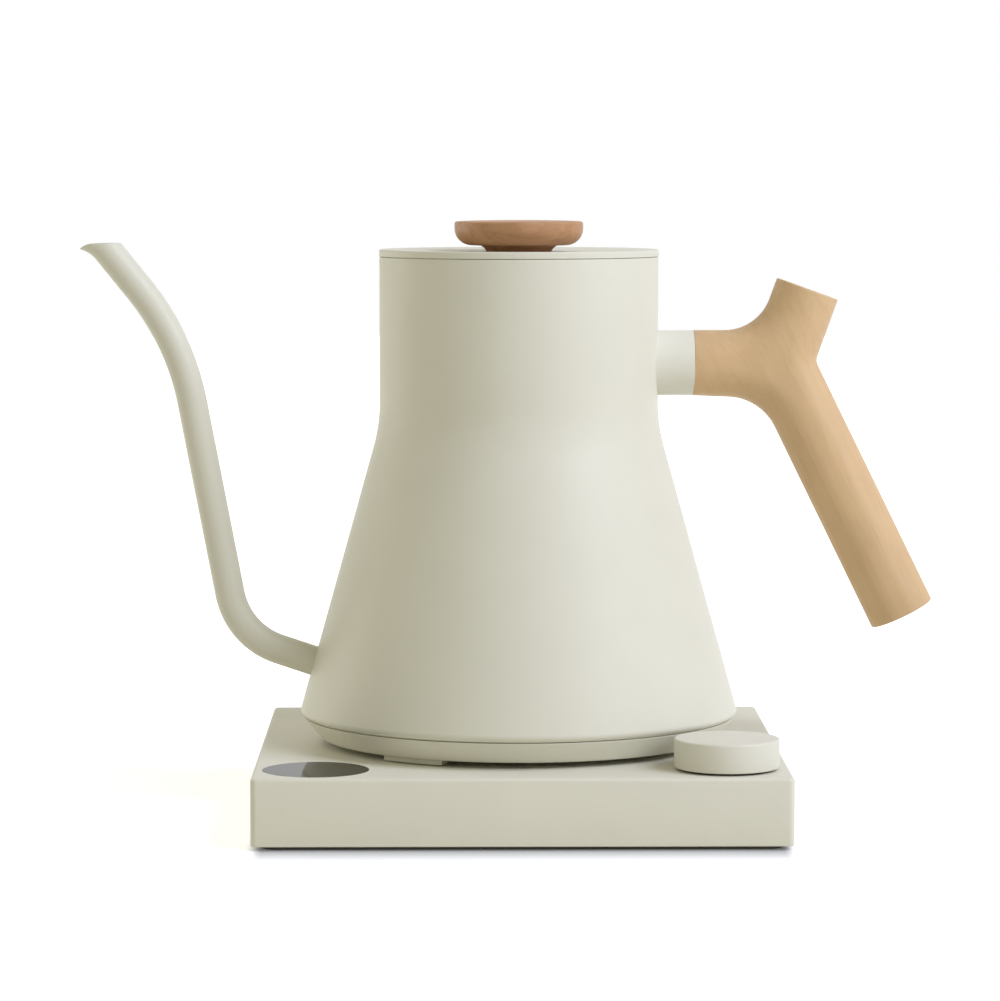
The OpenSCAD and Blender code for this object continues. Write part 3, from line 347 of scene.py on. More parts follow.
roof, lens_break = base_top - ceiling, 0.6 * hole_break
round_holes = (
    ((0, 0), 128, ((hub_hole_r + hole_break, 0), (hub_hole_r, hole_break), (hub_hole_r, roof))),
    (dial_at, 48, ((dial_hole_r, 0), (dial_hole_r, roof))),
    (display_at, 128, (
        (lens_hole_r + lens_break, 0), (lens_hole_r, lens_break), (lens_hole_r, lens_depth),
        (ledge_r, lens_depth), (ledge_r, roof),
    )),
)
holes = [
    [circle_ring(housing, at, r, base_top - depth, steps) for r, depth in levels]
    for at, steps, levels in round_holes
]
flat_with_holes(housing, [outer[-1]] + [loops[0] for loops in holes])
for loops in holes:
    bands(housing, loops)
inner_top = square_ring(housing, wall_half, corner_r, ceiling)
inner_low = square_ring(housing, wall_half, corner_r, base_low)
flat_with_holes(housing, [inner_top] + [loops[-1] for loops in holes])
band(housing, inner_top, inner_low)
band(housing, inner_low, outer[0])


def applied(holder):
    """The plain mesh that an object's modifiers give. The object is not kept."""
    bpy.context.view_layer.update()
    mesh = bpy.data.meshes.new_from_object(holder.evaluated_get(bpy.context.evaluated_depsgraph_get()))
    bpy.data.objects.remove(holder)
    return mesh


def cut_away(mesh, cutters):
    """Cuts closed shapes out of a mesh."""
    tool_mesh = bpy.data.meshes.new("cutters")
    bmesh.ops.recalc_face_normals(cutters, faces=cutters.faces)
    cutters.to_mesh(tool_mesh)
    cutters.free()
    tool, body = placed("cutters", tool_mesh), placed("being_cut", mesh)
    cut = body.modifiers.new("cut", "BOOLEAN")
    cut.operation, cut.solver, cut.object = "DIFFERENCE", "EXACT", tool
    result = applied(body)
    bpy.data.objects.remove(tool)
    return result


def bar(bm, r, low, high):
    """A closed upright cylinder round the axis."""
    turned(bm, [(0, low), (r, low), (r, high), (0, high)], steps=64)


housing_mesh = closed_mesh(housing, "housing")
gland_r, gland_y, flange_r, flange_y, past_wall = 0.00595, 0.0850, 0.00745, 0.0865, 0.0880
gland_hole = bmesh.new()
bar(gland_hole, gland_r, gland_y, past_wall)
bar(gland_hole, flange_r, flange_y, past_wall)
laid_back = Matrix(((1, 0, 0, 0), (0, 0, 1, 0), (0, -1, 0, 0), (0, 0, 0, 1)))
gland_hole.transform(Matrix.Translation((0, 0, gland_z)) @ laid_back)
housing_mesh = cut_away(housing_mesh, gland_hole)
finish("housing_shell", housing_mesh, "base", base_paint, "base_housing")


# ---------------- display
# A round window of smoked glass, flush with the top, with a polished face and
# a hairline chamfer, glued on a ledge over the dark display.

smoked_glass, tree, place = new_finish("smoked_glass")
smears = noise(tree, place, 90, 4, 0.6)
smear_gloss = ranged(tree, smears, 0.35, 0.75, 0.03, 0.075)
ripple = bumped(tree, 0.05, 0.00001, smears)
tint = blend(tree, smears, (0.014, 0.014, 0.012), (0.022, 0.022, 0.019))
surface(tree, tint, smear_gloss, ripple, IOR=1.15)

window = bmesh.new()
pane_r, pane_low, pane_top, low_chamfer, top_chamfer = 0.0173, 0.02195, 0.02348, 0.0002, 0.00015
turned(
    window,
    [(0, pane_low), (pane_r - low_chamfer, pane_low), (pane_r, pane_low + low_chamfer)]
    + [(pane_r, pane_top - top_chamfer), (pane_r - top_chamfer, pane_top), (0, pane_top)],
    at=display_at, steps=160,
)
finish("display_window", window, "base", smoked_glass, "display_lens")


# ---------------- dial
# A short drum of moulded plastic in the kettle's colour, pressed over the
# encoder's shaft. Its top has a generous round edge and its foot a small chamfer.

dial_paint = powder_coat("dial_paint", (0.755, 0.742, 0.650), 0.9, 0.48)
dial_r, dial_low, dial_top = 0.0172, 0.0243, 0.0338
dial_bore_r, dial_edge, dial_foot_edge, foot_break = 0.0154, 0.0008, 0.0004, 0.00012
roof_low = dial_top - 0.002
drum = bmesh.new()
turned(
    drum,
    [(dial_bore_r, dial_low), (dial_r - dial_foot_edge, dial_low)]
    + [(dial_r - foot_break, dial_low + foot_break), (dial_r, dial_low + dial_foot_edge)]
    + arc(dial_r - dial_edge, dial_top - dial_edge, dial_edge, 0, 90, 10)
    + [(0.006, dial_top), (0, dial_top), (0, roof_low), (dial_bore_r, roof_low)],
    at=dial_at, steps=192,
)
finish("dial_drum", drum, "dial", dial_paint, "dial_knob")


# ---------------- kettle body
# Stainless steel, deep-drawn and spun into a cone that flares into a straight
# neck, then powder-coated. The port for the spout is cut low in its side.

body_paint = powder_coat("body_paint", cream)
wide_r, neck_r, flare_r = 0.0742, 0.04725, 0.058
lower_z, wide_z, neck_z, rim_z = 0.0329, 0.0355, 0.1400, 0.1888
wall = 0.001
lean_x, lean_z = neck_r + flare_r - wide_r, neck_z - wide_z
cone_a = degrees(atan2(lean_z, lean_x) - acos(flare_r / hypot(lean_x, lean_z)))
cone_rad = radians(cone_a)
low_r = (wide_z - lower_z) / (1 + sin(cone_rad))
low_x = wide_r - low_r * cos(cone_rad)
mouth_low_r = low_x - 0.003


def body_radius(z):
    """Radius of the cone at a height."""
    return wide_r - (z - wide_z) * tan(cone_rad)


def body_side(t):
    """The body's outline from its lower edge up to the neck, set in by t."""
    return (
        arc(low_x, lower_z + low_r, low_r - t, -90, cone_a, 10)
        + arc(neck_r + flare_r, neck_z, flare_r + t, 180 + cone_a, 180, 28)
    )


def worked_metal(name, colour, rough, turned_about=None, grain=(1, 1, 1), stain=0.12):
    """Metal with its tool marks: rings about an upright axis where it was turned, or fine drawn lines."""
    metal, tree, place = new_finish(name)
    if turned_about is None:
        marked = given(tree, "ShaderNodeMapping", Vector=place, Scale=grain)
    else:
        centred = given(tree, "ShaderNodeVectorMath", operation="SUBTRACT", N0=place, N1=turned_about)
        parts = add(tree, "ShaderNodeSeparateXYZ", Vector=centred)
        flat = given(tree, "ShaderNodeCombineXYZ", X=parts.outputs["X"], Y=parts.outputs["Y"])
        out = add(tree, "ShaderNodeVectorMath", operation="LENGTH", N0=flat)
        marked = given(tree, "ShaderNodeCombineXYZ", X=out.outputs["Value"], Y=parts.outputs["Z"])
    lines = noise(tree, marked, 2100, 3, 0.6)
    blotches = noise(tree, place, 75, 5, 0.62)
    stained = ranged(tree, blotches, 0.42, 0.72, 0, 1)
    warm_stain = (*toned(colour[:2], 1 - 2 * stain), colour[2] * (1 - 2.6 * stain))
    tone = blend(tree, stained, toned(colour, 1.04), warm_stain)
    brushed = ranged(tree, lines, 0.3, 0.7, rough - 0.07, rough + 0.06)
    gloss = given(tree, "ShaderNodeMath", operation="MULTIPLY_ADD", N0=stained, N1=0.10, N2=brushed)
    marks = bumped(tree, 0.16, 0.00003, lines)
    surface(tree, tone, gloss, marks, Metallic=1.0)
    return metal


rim_r = 0.0003
shell = bmesh.new()
turned(
    shell,
    [(mouth_low_r, lower_z)] + body_side(0)
    + arc(neck_r - rim_r, rim_z - rim_r, rim_r, 0, 90, 4)
    + arc(neck_r - wall + rim_r, rim_z - rim_r, rim_r, 90, 180, 4)
    + body_side(wall)[::-1] + [(mouth_low_r, lower_z + wall)],
    steps=256,
)
shell_mesh = closed_mesh(shell, "body")
spout_z, out_deg = 0.0511, 18.5
out_a = radians(out_deg)
spout_root = Vector((-body_radius(spout_z), 0, spout_z))
along_out = Vector((-cos(out_a), 0, sin(out_a)))
port = bmesh.new()
port_r, port_reach = 0.00425, 0.008
bar(port, port_r, -port_reach, port_reach)
port.transform(Matrix.Translation(spout_root) @ along_out.to_track_quat("Z", "Y").to_matrix().to_4x4())
shell_mesh = cut_away(shell_mesh, port)
body_shell = finish("body_shell", shell_mesh, "kettle", body_paint, "kettle_body")
inside_steel = worked_metal("inside_steel", (0.76, 0.76, 0.745), 0.42, (0, 0, 0), stain=0.04)
body_shell.data.materials.append(inside_steel)
for face in body_shell.data.polygons:
    outward = face.normal.x * face.center.x + face.normal.y * face.center.y
    if outward < -1e-6 and face.center.z < rim_z - 0.0004:
        face.material_index = 1


# ---------------- spout
# One length of steel tube, bent twice and welded round the port, then coated with
# the body. Its end is cut on a slant and rolled out into a pouring lip.

spout_paint = powder_coat("spout_paint", cream)
tube_r, tube_wall, out_len = 0.00505, 0.0008, 0.0126
rise_a, tip_a, lip_turn = 79.2, 51.2, 46
low_bend, top_bend, lip_bend = 0.0250, 0.0872, 0.0155
tip_len, lip_back, lip_flat, droop_r = 0.0200, 0.0032, 0.0021, 0.0082
mouth_z = 0.1934


def heading(a):
    """The way the tube runs at so many degrees from level, as seen from the front."""
    return Vector((-cos(radians(a)), sin(radians(a))))


def beside(a):
    """Across a heading, on its upper right side."""
    return Vector((sin(radians(a)), cos(radians(a))))


path_0 = Vector((spout_root.x, spout_root.z))
path_1 = path_0 + out_len * heading(out_deg)
low_centre = path_1 + low_bend * beside(out_deg)
path_2 = low_centre - low_bend * beside(rise_a)
top_rise = top_bend * (cos(radians(tip_a)) - cos(radians(rise_a)))
tip_rise = tip_len * sin(radians(tip_a))
riser = (mouth_z - path_2.y - top_rise - tip_rise) / sin(radians(rise_a))
path_3 = path_2 + riser * heading(rise_a)
top_centre = path_3 - top_bend * beside(rise_a)
path_4 = top_centre + top_bend * beside(tip_a)
path_5 = path_4 + (tip_len - lip_back) * heading(tip_a)
lip_centre = path_5 - lip_bend * beside(tip_a)
mouth_x = path_4.x - tip_len * cos(radians(tip_a))

spout_path = [
    path_0 - 0.003 * heading(out_deg), path_0 + 0.004 * heading(out_deg), path_0 + 0.009 * heading(out_deg),
]
spout_path += [low_centre - low_bend * beside(out_deg + (rise_a - out_deg) * k / 36) for k in range(37)]
spout_path += [path_2 + riser * k / 14 * heading(rise_a) for k in range(1, 14)]
spout_path += [top_centre + top_bend * beside(rise_a + (tip_a - rise_a) * k / 28) for k in range(29)]
spout_path += [path_4 + (tip_len - lip_back) * k / 6 * heading(tip_a) for k in range(1, 6)]
spout_path += [lip_centre + lip_bend * beside(tip_a - lip_turn * k / 24) for k in range(25)]


def new_tree(name, *inputs):
    """An empty geometry tree with a geometry in, a geometry out and named inputs."""
    tree = bpy.data.node_groups.new(name, "GeometryNodeTree")
    tree.interface.new_socket(name="Geometry", in_out="OUTPUT", socket_type="NodeSocketGeometry")
    for label, kind in (("Geometry", "NodeSocketGeometry"), *inputs):
        tree.interface.new_socket(name=label, in_out="INPUT", socket_type=kind)
    return tree, tree.nodes.new("NodeGroupInput"), tree.nodes.new("NodeGroupOutput")


def grown(name, source, tree, **values):
    """The mesh that a geometry tree makes of a source object, with its named inputs set."""
    holder = placed(name, source)
    maker = holder.modifiers.new("maker", "NODES")
    maker.node_group = tree
    for item in tree.interface.items_tree:
        if item.item_type == "SOCKET" and item.in_out == "INPUT" and item.name.replace(" ", "_") in values:
            maker[item.identifier] = values[item.name.replace(" ", "_")]
    return applied(holder)


def joined(tree, kind, shapes, slot=0, **own):
    """One geometry out of several."""
    union = add(tree, kind, **own)
    for shape in shapes:
        tree.links.new(shape, union.inputs[slot])
    return union.outputs[0]


def end_tree(tree, shape, inputs, out):
    """Ends a tree: the geometry made real, in the given material."""
    real = given(tree, "GeometryNodeRealizeInstances", Geometry=shape)
    in_material = given(tree, "GeometryNodeSetMaterial", Geometry=real, Material=inputs["Material"])
    tree.links.new(in_material, out.inputs[0])


tube_tree, tube_in, tube_out = new_tree(
    "bent_tube", ("Outer radius", "NodeSocketFloat"), ("Wall", "NodeSocketFloat"),
    ("Sides", "NodeSocketInt"), ("Material", "NodeSocketMaterial"),
)
tube_given = tube_in.outputs
bore_radius = reckon(tube_tree, "SUBTRACT", tube_given["Outer radius"], tube_given["Wall"])
upright = given(tube_tree, "GeometryNodeSetCurveNormal", mode="Z_UP", Curve=tube_given["Geometry"])
skins = []
for radius in (tube_given["Outer radius"], bore_radius):
    section = given(
        tube_tree, "GeometryNodeCurvePrimitiveCircle", Resolution=tube_given["Sides"], Radius=radius,
    )
    skins.append(given(tube_tree, "GeometryNodeCurveToMesh", Curve=upright, Profile_Curve=section))
bore_skin = given(tube_tree, "GeometryNodeFlipFaces", Mesh=skins[1])
both_skins = joined(tube_tree, "GeometryNodeJoinGeometry", (skins[0], bore_skin))
end_tree(tube_tree, both_skins, tube_given, tube_out)

spout_curve = bpy.data.curves.new("spout_path", "CURVE")
spout_curve.dimensions = "3D"
spout_line = spout_curve.splines.new("POLY")
spout_line.points.add(len(spout_path) - 1)
for point, p in zip(spout_line.points, spout_path):
    point.co = (p.x, 0, p.y, 1)
tube_mesh = grown(
    "spout_path", spout_curve, tube_tree, Outer_radius=tube_r, Wall=tube_wall, Sides=72,
    Material=spout_paint,
)

tube = bmesh.new()
tube.from_mesh(tube_mesh)
weld_at = spout_root - 0.0004 * Vector((-cos(cone_rad), 0, -sin(cone_rad)))
cuts = [(weld_at, Vector((cos(cone_rad), 0, -sin(cone_rad))))]
for turn in range(0, 46, 3):
    outwards = Vector((-sin(radians(turn)), 0, cos(radians(turn))))
    cuts.append((Vector((mouth_x - lip_flat, 0, mouth_z - droop_r)) + droop_r * outwards, outwards))
for where, outwards in cuts:
    everything = tube.verts[:] + tube.edges[:] + tube.faces[:]
    bmesh.ops.bisect_plane(
        tube, geom=everything, dist=1e-8, plane_co=where, plane_no=outwards, clear_outer=True
    )
bmesh.ops.remove_doubles(tube, verts=tube.verts, dist=1e-6)
mouth_edges = [e for e in tube.edges if e.is_boundary and e.verts[0].co.z > 0.15]
root_edges = [e for e in tube.edges if e.is_boundary and e.verts[0].co.z < 0.10]
bmesh.ops.bridge_loops(tube, edges=mouth_edges)
bmesh.ops.bridge_loops(tube, edges=root_edges)
spout_pipe = finish("spout_pipe", tube, "kettle", spout_paint, "spout_tube", sharp=50)
spout_pipe.data.materials.append(inside_steel)
for face in spout_pipe.data.polygons:
    spot = Vector((face.center.x, face.center.z))
    middle = min(spout_path, key=lambda p: (p - spot).length_squared)
    off = Vector((face.center.x - middle.x, face.center.y, face.center.z - middle.y))
    if face.normal.dot(off) < -0.5 * off.length:
        face.material_index = 1


# ---------------- bottom cap and feet
# A shallow painted pan that closes the body from below, held by three screws. It
# stands on three curved pads, and its side slants in towards the base.

cap_paint = powder_coat("cap_paint", cream, rough=0.47)
cap_low_z, cap_top_z = 0.0255, 0.03278
cap_top_r = low_x + 0.0012
cap_low_r = cap_top_r - 0.0056
centre_r, pan_wall = 0.0191, 0.002
lip_in_r, lip_out_r, lip_z = mouth_low_r - 0.0018, mouth_low_r - 0.0002, cap_top_z + 0.0026
pan = bmesh.new()
turned(
    pan,
    [
        (centre_r, cap_low_z), (cap_low_r - 0.0016, cap_low_z), (cap_low_r - 0.0008, cap_low_z + 0.00012),
        (cap_low_r - 0.0002, cap_low_z + 0.0004), (cap_low_r + 0.0002, cap_low_z + 0.0009),
        (cap_top_r - 0.0002, cap_top_z - 0.0004), (cap_top_r - 0.0001, cap_top_z - 0.0001),
        (cap_top_r - 0.0003, cap_top_z), (lip_out_r, cap_top_z), (lip_out_r, lip_z), (lip_in_r, lip_z),
        (lip_in_r, cap_top_z - 0.0016), (cap_low_r - 0.0022, cap_low_z + pan_wall),
        (centre_r, cap_low_z + pan_wall),
    ],
    steps=256,
)
pan_mesh = closed_mesh(pan, "cap")


def round_spots(r, first, z):
    """Three places a third of a turn apart."""
    angles = [radians(first + 120 * i) for i in range(3)]
    return [(r * cos(a), r * sin(a), z) for a in angles]


stud_ring_r, first_stud = 0.058, 28
well_r, well_low, well_top, bore_r, bore_low, bore_top = 0.0031, 0.0250, 0.0270, 0.0017, 0.0272, 0.0300
well = [(0, well_low), (well_r, well_low), (well_r, well_top)]
well += [(bore_r, bore_low), (bore_r, bore_top), (0, bore_top)]
wells = bmesh.new()
for spot in round_spots(stud_ring_r, first_stud, 0):
    turned(wells, well, at=spot, steps=48)
pan_mesh = cut_away(pan_mesh, wells)
finish("cap_pan", pan_mesh, "kettle", cap_paint, "bottom_cap")

pad_in, pad_out, pad_middle_r = 0.06082, 0.06622, 0.0635
pad_low, pad_high, pad_break = 0.0238, 0.02545, 0.0003
first_pad, half_pad = 236.9, 9.9
pads = bmesh.new()
for i in range(3):
    middle = first_pad + 120 * i
    rows = []
    for z, inset in ((pad_low, pad_break), (0.0240, 0), (pad_high, 0)):
        swing = half_pad - degrees(inset / pad_middle_r)
        loop = arc(0, 0, pad_out - inset, middle - swing, middle + swing, 24)
        loop += arc(0, 0, pad_in + inset, middle + swing, middle - swing, 24)
        rows.append([pads.verts.new((x, y, z)) for x, y in loop])
    bands(pads, rows)
    for loop in (rows[0], rows[-1]):
        for k in range(24):
            pads.faces.new((loop[k], loop[k + 1], loop[48 - k], loop[49 - k]))
pad_plastic = powder_coat("pad_plastic", (0.62, 0.605, 0.515), 0.6, 0.55)
finish("standing_pads", pads, "kettle", pad_plastic, "kettle_feet")


# ---------------- collar
# A short painted steel tube, welded to the neck. The wood butts against its end
# and is drawn tight to it by the stud inside.

collar_paint = powder_coat("collar_paint", (0.785, 0.777, 0.690))
hub = Vector((0.0893, 0, 0.1528))
collar_r, collar_bore, stud_hole = 0.011, 0.0052, 0.0032
collar_end, web_x, collar_break = 0.0593, 0.0486, 0.00008
against_neck = None
sleeve = bmesh.new()
loops = []
for x, r in (
    (against_neck, collar_r), (0.052, collar_r), (collar_end - collar_break, collar_r),
    (collar_end, collar_r - collar_break), (collar_end, stud_hole), (web_x, stud_hole),
    (web_x, collar_bore), (against_neck, collar_bore),
):
    ring = []
    for y, z in arc(0, 0, r, 0, 360, 96)[:-1]:
        at_x = sqrt(neck_r ** 2 - y * y) - 0.0003 if x is against_neck else x
        ring.append(sleeve.verts.new((at_x, y, hub.z + z)))
    loops.append(ring)
bands(sleeve, loops)
band(sleeve, loops[-1], loops[0])
finish("neck_collar", sleeve, "kettle", collar_paint, "handle_collar")


# ---------------- handle
# One piece of pale maple, routed to a rounded Y, sanded and oiled: a short arm
# to the collar, a thumb rest above and a long grip below.

def wood(name, pale, mid, deep, grain_turn, middle, ring=1.0, rough=0.5, figured=1.0):
    """Oiled fine-grained wood: broad soft figure, streaks along the grain, faint rings and short pores."""
    timber, tree, place = new_finish(name)
    centred = given(tree, "ShaderNodeVectorMath", operation="SUBTRACT", N0=place, N1=middle)
    along = given(tree, "ShaderNodeMapping", vector_type="TEXTURE", Vector=centred, Rotation=grain_turn)
    drawn = given(tree, "ShaderNodeMapping", Vector=along, Scale=(1, 1, 0.07))
    long_drawn = given(tree, "ShaderNodeMapping", Vector=along, Scale=(1, 1, 0.025))
    figure = noise(tree, drawn, 95, 4, 0.55, 0.6)
    streaks = noise(tree, drawn, 620, 4, 0.6)
    fibres = noise(tree, long_drawn, 2600, 3, 0.6)
    rings = add(
        tree, "ShaderNodeTexWave", wave_type="RINGS", rings_direction="Z", wave_profile="SAW",
        Vector=drawn, Scale=52 * ring, Distortion=3.2, Detail=3, Detail_Scale=1.6,
        Detail_Roughness=0.6,
    )
    clouds = noise(tree, along, 42, 2, 0.5)
    tone = blend(tree, figure, mid, pale)
    streak_share = ranged(tree, streaks, 0.5, 0.78, 0, 0.33 * figured)
    streaked = blend(tree, streak_share, tone, deep)
    ring_share = ranged(tree, rings.outputs["Fac"], 0.55, 1, 0, 0.15 * figured)
    ringed = blend(tree, ring_share, streaked, deep)
    pore_share = ranged(tree, fibres, 0.62, 0.74, 0, 0.32)
    pored = blend(tree, pore_share, ringed, toned(deep, 0.62))
    cloud_tone = ranged(tree, clouds, 0.3, 0.7, 0.93, 1.05)
    shaded = given(tree, "ShaderNodeVectorMath", operation="SCALE", N0=pored, Scale=cloud_tone)
    gloss = ranged(tree, streaks, 0.3, 0.7, rough - 0.06, rough + 0.08)
    grain = bumped(tree, 0.28, 0.00005, streaks)
    open_grain = bumped(tree, 0.25, 0.00006, pore_share, grain, invert=True)
    surface(tree, shaded, gloss, open_grain, Specular_IOR_Level=0.34)
    return timber


maple = wood(
    "maple", (0.70, 0.498, 0.290), (0.635, 0.428, 0.232), (0.55, 0.345, 0.168), (0, radians(-25.9), 0),
    (0.1, -0.006, 0.11),
)
wood_r = 0.0109
stub_a, grip_a = radians(19), radians(25.9)
neck_d = Vector((-1, 0))
stub_d = Vector((sin(stub_a), cos(stub_a)))
grip_d = Vector((sin(grip_a), -cos(grip_a)))
neck_len, stub_len, grip_len = 0.02995, 0.0265, 0.0951
half_neck, half_stub, half_grip = 0.0002, 0.00005, 0.00065
top_hollow_r, crotch_r, low_hollow_r = 0.0162, 0.004, 0.0185
end_r, butt_r, grip_taper = 0.0005, 0.00015, 0.0003
half_steps = 28


def left_of(d):
    """A quarter turn to the left of a direction."""
    return Vector((-d.y, d.x))


def hollow(d0, d1, w, r, n=30):
    """The rounded inner corner of the middle strip between two arms."""
    half = acos(d0.dot(d1)) / 2
    middle = (d0 + d1).normalized()
    c = middle * ((w + r) / sin(half))
    reach = (w + r) / tan(half)
    a0 = atan2(*(d0 * reach - c).yx)
    a1 = atan2(*(d1 * reach - c).yx)
    sweep = (a1 - a0 + 3 * pi) % (2 * pi) - pi
    angles = [a0 + sweep * k / n for k in range(n + 1)]
    return [c + r * Vector((cos(a), sin(a))) for a in angles]


def run_in(a, b, n):
    """Points from a towards b, without b."""
    return [a + (b - a) * k / n for k in range(n)]


top_hollow = hollow(neck_d, stub_d, half_neck, top_hollow_r + wood_r)
crotch = hollow(stub_d, grip_d, half_stub - 0.0002, crotch_r + wood_r)
low_hollow = hollow(grip_d, neck_d, half_grip, low_hollow_r + wood_r)
neck_end = neck_d * (neck_len - butt_r)
stub_end = stub_d * (stub_len - end_r)
grip_end = grip_d * (grip_len - end_r)
neck_half, stub_half = Vector((0, half_neck)), left_of(stub_d) * half_stub
grip_half = left_of(grip_d) * (half_grip - grip_taper)
sides = [
    run_in(start, corner[0], n0) + corner + run_in(end, corner[-1], n1)[::-1]
    for start, n0, corner, end, n1 in (
        (neck_end + neck_half, 4, top_hollow, stub_end + stub_half, 5),
        (stub_end - stub_half, 5, crotch, grip_end + grip_half, 14),
        (grip_end - grip_half, 14, low_hollow, neck_end - neck_half, 4),
    )
]
branch = bmesh.new()


def corner_at(p, n, s, r, forward=Vector((0, 0))):
    """Corner s of a half round of radius r that bulges from the point p towards n."""
    a = pi * s / half_steps
    q = p + n * r * sin(a) + forward
    return branch.verts.new((hub.x + q.x, -r * cos(a), hub.z + q.y))


columns = []
outwards = []
for line in sides:
    grid, normals = [], []
    for k, p in enumerate(line):
        n = left_of((line[min(k + 1, len(line) - 1)] - line[max(k - 1, 0)]).normalized())
        normals.append(n)
        grid.append([corner_at(p, n, s, wood_r) for s in range(half_steps + 1)])
    for one, two in zip(grid, grid[1:]):
        for s in range(half_steps):
            branch.faces.new((one[s], one[s + 1], two[s + 1], two[s]))
    columns.append(grid)
    outwards.append(normals)
for s in (0, half_steps):
    branch.faces.new([c[s] for grid in columns for c in grid])
for (side_a, at_a), (side_b, at_b), d, round_r, crown in (
    ((2, -1), (0, 0), neck_d, butt_r, 0.0),
    ((0, -1), (1, 0), stub_d, end_r, 0.00012),
    ((1, -1), (2, 0), grip_d, end_r, 0.00025),
):
    last = columns[side_a][at_a] + columns[side_b][at_b][::-1]
    bases = [(sides[side_a][at_a], outwards[side_a][at_a], s) for s in range(half_steps + 1)]
    bases += [(sides[side_b][at_b], outwards[side_b][at_b], s) for s in range(half_steps, -1, -1)]
    stages = arc(wood_r - round_r, 0, round_r, 0, 90, 6)[1:]
    stages += [
        ((wood_r - round_r) * f, round_r + crown * (1 - f * f)) for f in (0.85, 0.65, 0.45, 0.25, 0.1)
    ]
    for r, forward in stages:
        ring = [corner_at(p, n, s, r, d * forward) for p, n, s in bases]
        band(branch, last, ring)
        last = ring
    branch.faces.new(last)
finish("handle_wood", branch, "kettle", maple, "handle", sharp=45)


# ---------------- lid
# A pressed steel cap in the kettle's colour, with a small round edge, over a
# bright steel plug and its soft seal.

lid_paint = powder_coat("lid_paint", cream)
lid_low, lid_top, lid_r, lid_edge = 0.18895, 0.1913, 0.04735, 0.0006
seat_r, seat_z = 0.0130, 0.1903
skirt_r, screw_hole, lid_break = lid_r - 0.0011, 0.0021, 0.00015
cap = bmesh.new()
turned(
    cap,
    [(skirt_r, lid_low), (lid_r - lid_break, lid_low), (lid_r, lid_low + lid_break)]
    + arc(lid_r - lid_edge, lid_top - lid_edge, lid_edge, 0, 90, 8)
    + [(0.035, seat_z + 0.00064), (0.022, seat_z + 0.00026), (seat_r, seat_z), (screw_hole, seat_z)]
    + [
        (screw_hole, seat_z - 0.0009), (seat_r, seat_z - 0.0009), (0.030, seat_z - 0.0004),
        (skirt_r, lid_top - 0.0009),
    ],
    steps=256,
)
finish("lid_shell", cap, "lid", lid_paint, "lid_cap")


# ---------------- knob
# Turned from a redder wood: a flat top with a soft edge, a side that curves in
# under it and a narrow foot. It is screwed on from inside the lid.

cherry = wood(
    "cherry", (0.56, 0.322, 0.172), (0.48, 0.248, 0.118), (0.34, 0.152, 0.066),
    (0, radians(90), radians(10)), (0, 0.02, 0.19), 1.3, 0.46, 1.7,
)
knob_low, knob_top, knob_r, foot_r, foot_h = 0.19035, 0.20115, 0.0218, 0.0109, 0.00235
side_r, top_round, crown_h, foot_slope, foot_lip = 0.0057, 0.0009, 0.0004, 112, 157
flare_size = foot_h / (sin(radians(foot_slope)) - sin(radians(foot_lip)))
flare_x = foot_r - flare_size * cos(radians(foot_lip))
flare_z = knob_low - flare_size * sin(radians(foot_lip))
crown = (
    (0.0195, 0.00031), (0.0165, 0.00019), (0.0133, 0.00012), (0.0099, 0.00006), (0.005, 0.00002), (0, 0),
)
knob = bmesh.new()
turned(
    knob,
    [(0, knob_low), (foot_r - 0.0002, knob_low)]
    + arc(flare_x, flare_z, flare_size, foot_lip - 2, foot_slope, 12)
    + arc(knob_r - side_r, knob_low + foot_h + side_r, side_r, -90, 0, 24)
    + arc(knob_r - top_round, knob_top - top_round - crown_h, top_round, 0, 80, 8)
    + [(r, knob_top - fall) for r, fall in crown],
    steps=160,
)
finish("knob_wood", knob, "lid", cherry, "lid_knob", sharp=50)


# ---------------- base's bottom plate
# A moulded plate of dark plastic closes the tray from below. A rubber ring is
# pressed into its rim; the base stands on it.

def dress(material, *nodes):
    """Gives pieces that keep their plain shape their finish."""
    for node in nodes:
        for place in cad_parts[node].material_slots:
            place.material = material


def moulded(name, colour, rough=0.5, texture=1.0):
    """Moulded plastic: a spark-etched skin, faint flow clouds, and a few dull scuffs."""
    plastic, tree, place = new_finish(name)
    etched = add(tree, "ShaderNodeTexVoronoi", Vector=place, Scale=2600)
    clouds = noise(tree, place, 55, 3, 0.6, 0.8)
    rubbed = noise(tree, place, 210, 5, 0.7)
    tone = blend(tree, clouds, toned(colour, 0.9), toned(colour, 1.08))
    scuff = ranged(tree, rubbed, 0.60, 0.74, 0, 0.18)
    worn = blend(tree, scuff, tone, toned(colour, 1.5, 0.03))
    gloss = ranged(tree, rubbed, 0.35, 0.70, rough - 0.06, rough + 0.12)
    skin = bumped(tree, 0.30 * texture, 0.00003, etched.outputs["Distance"])
    surface(tree, worn, gloss, skin, Specular_IOR_Level=0.42)
    return plastic


def rubber(name, colour, rough=0.78, dust=0.10):
    """Rubber or silicone: a dull fine-pored skin with a little pale dust in its hollows."""
    soft, tree, place = new_finish(name)
    pores = noise(tree, place, 1900, 3, 0.65)
    patches = noise(tree, place, 120, 5, 0.65)
    dusty = ranged(tree, patches, 0.5, 0.75, 0, dust)
    tone = blend(tree, pores, toned(colour, 0.88), toned(colour, 1.06))
    dulled = blend(tree, dusty, tone, (0.55, 0.53, 0.50))
    gloss = ranged(tree, patches, 0.3, 0.7, rough - 0.08, rough + 0.1)
    skin = bumped(tree, 0.25, 0.00004, pores)
    surface(tree, dulled, gloss, skin, Specular_IOR_Level=0.3)
    return soft


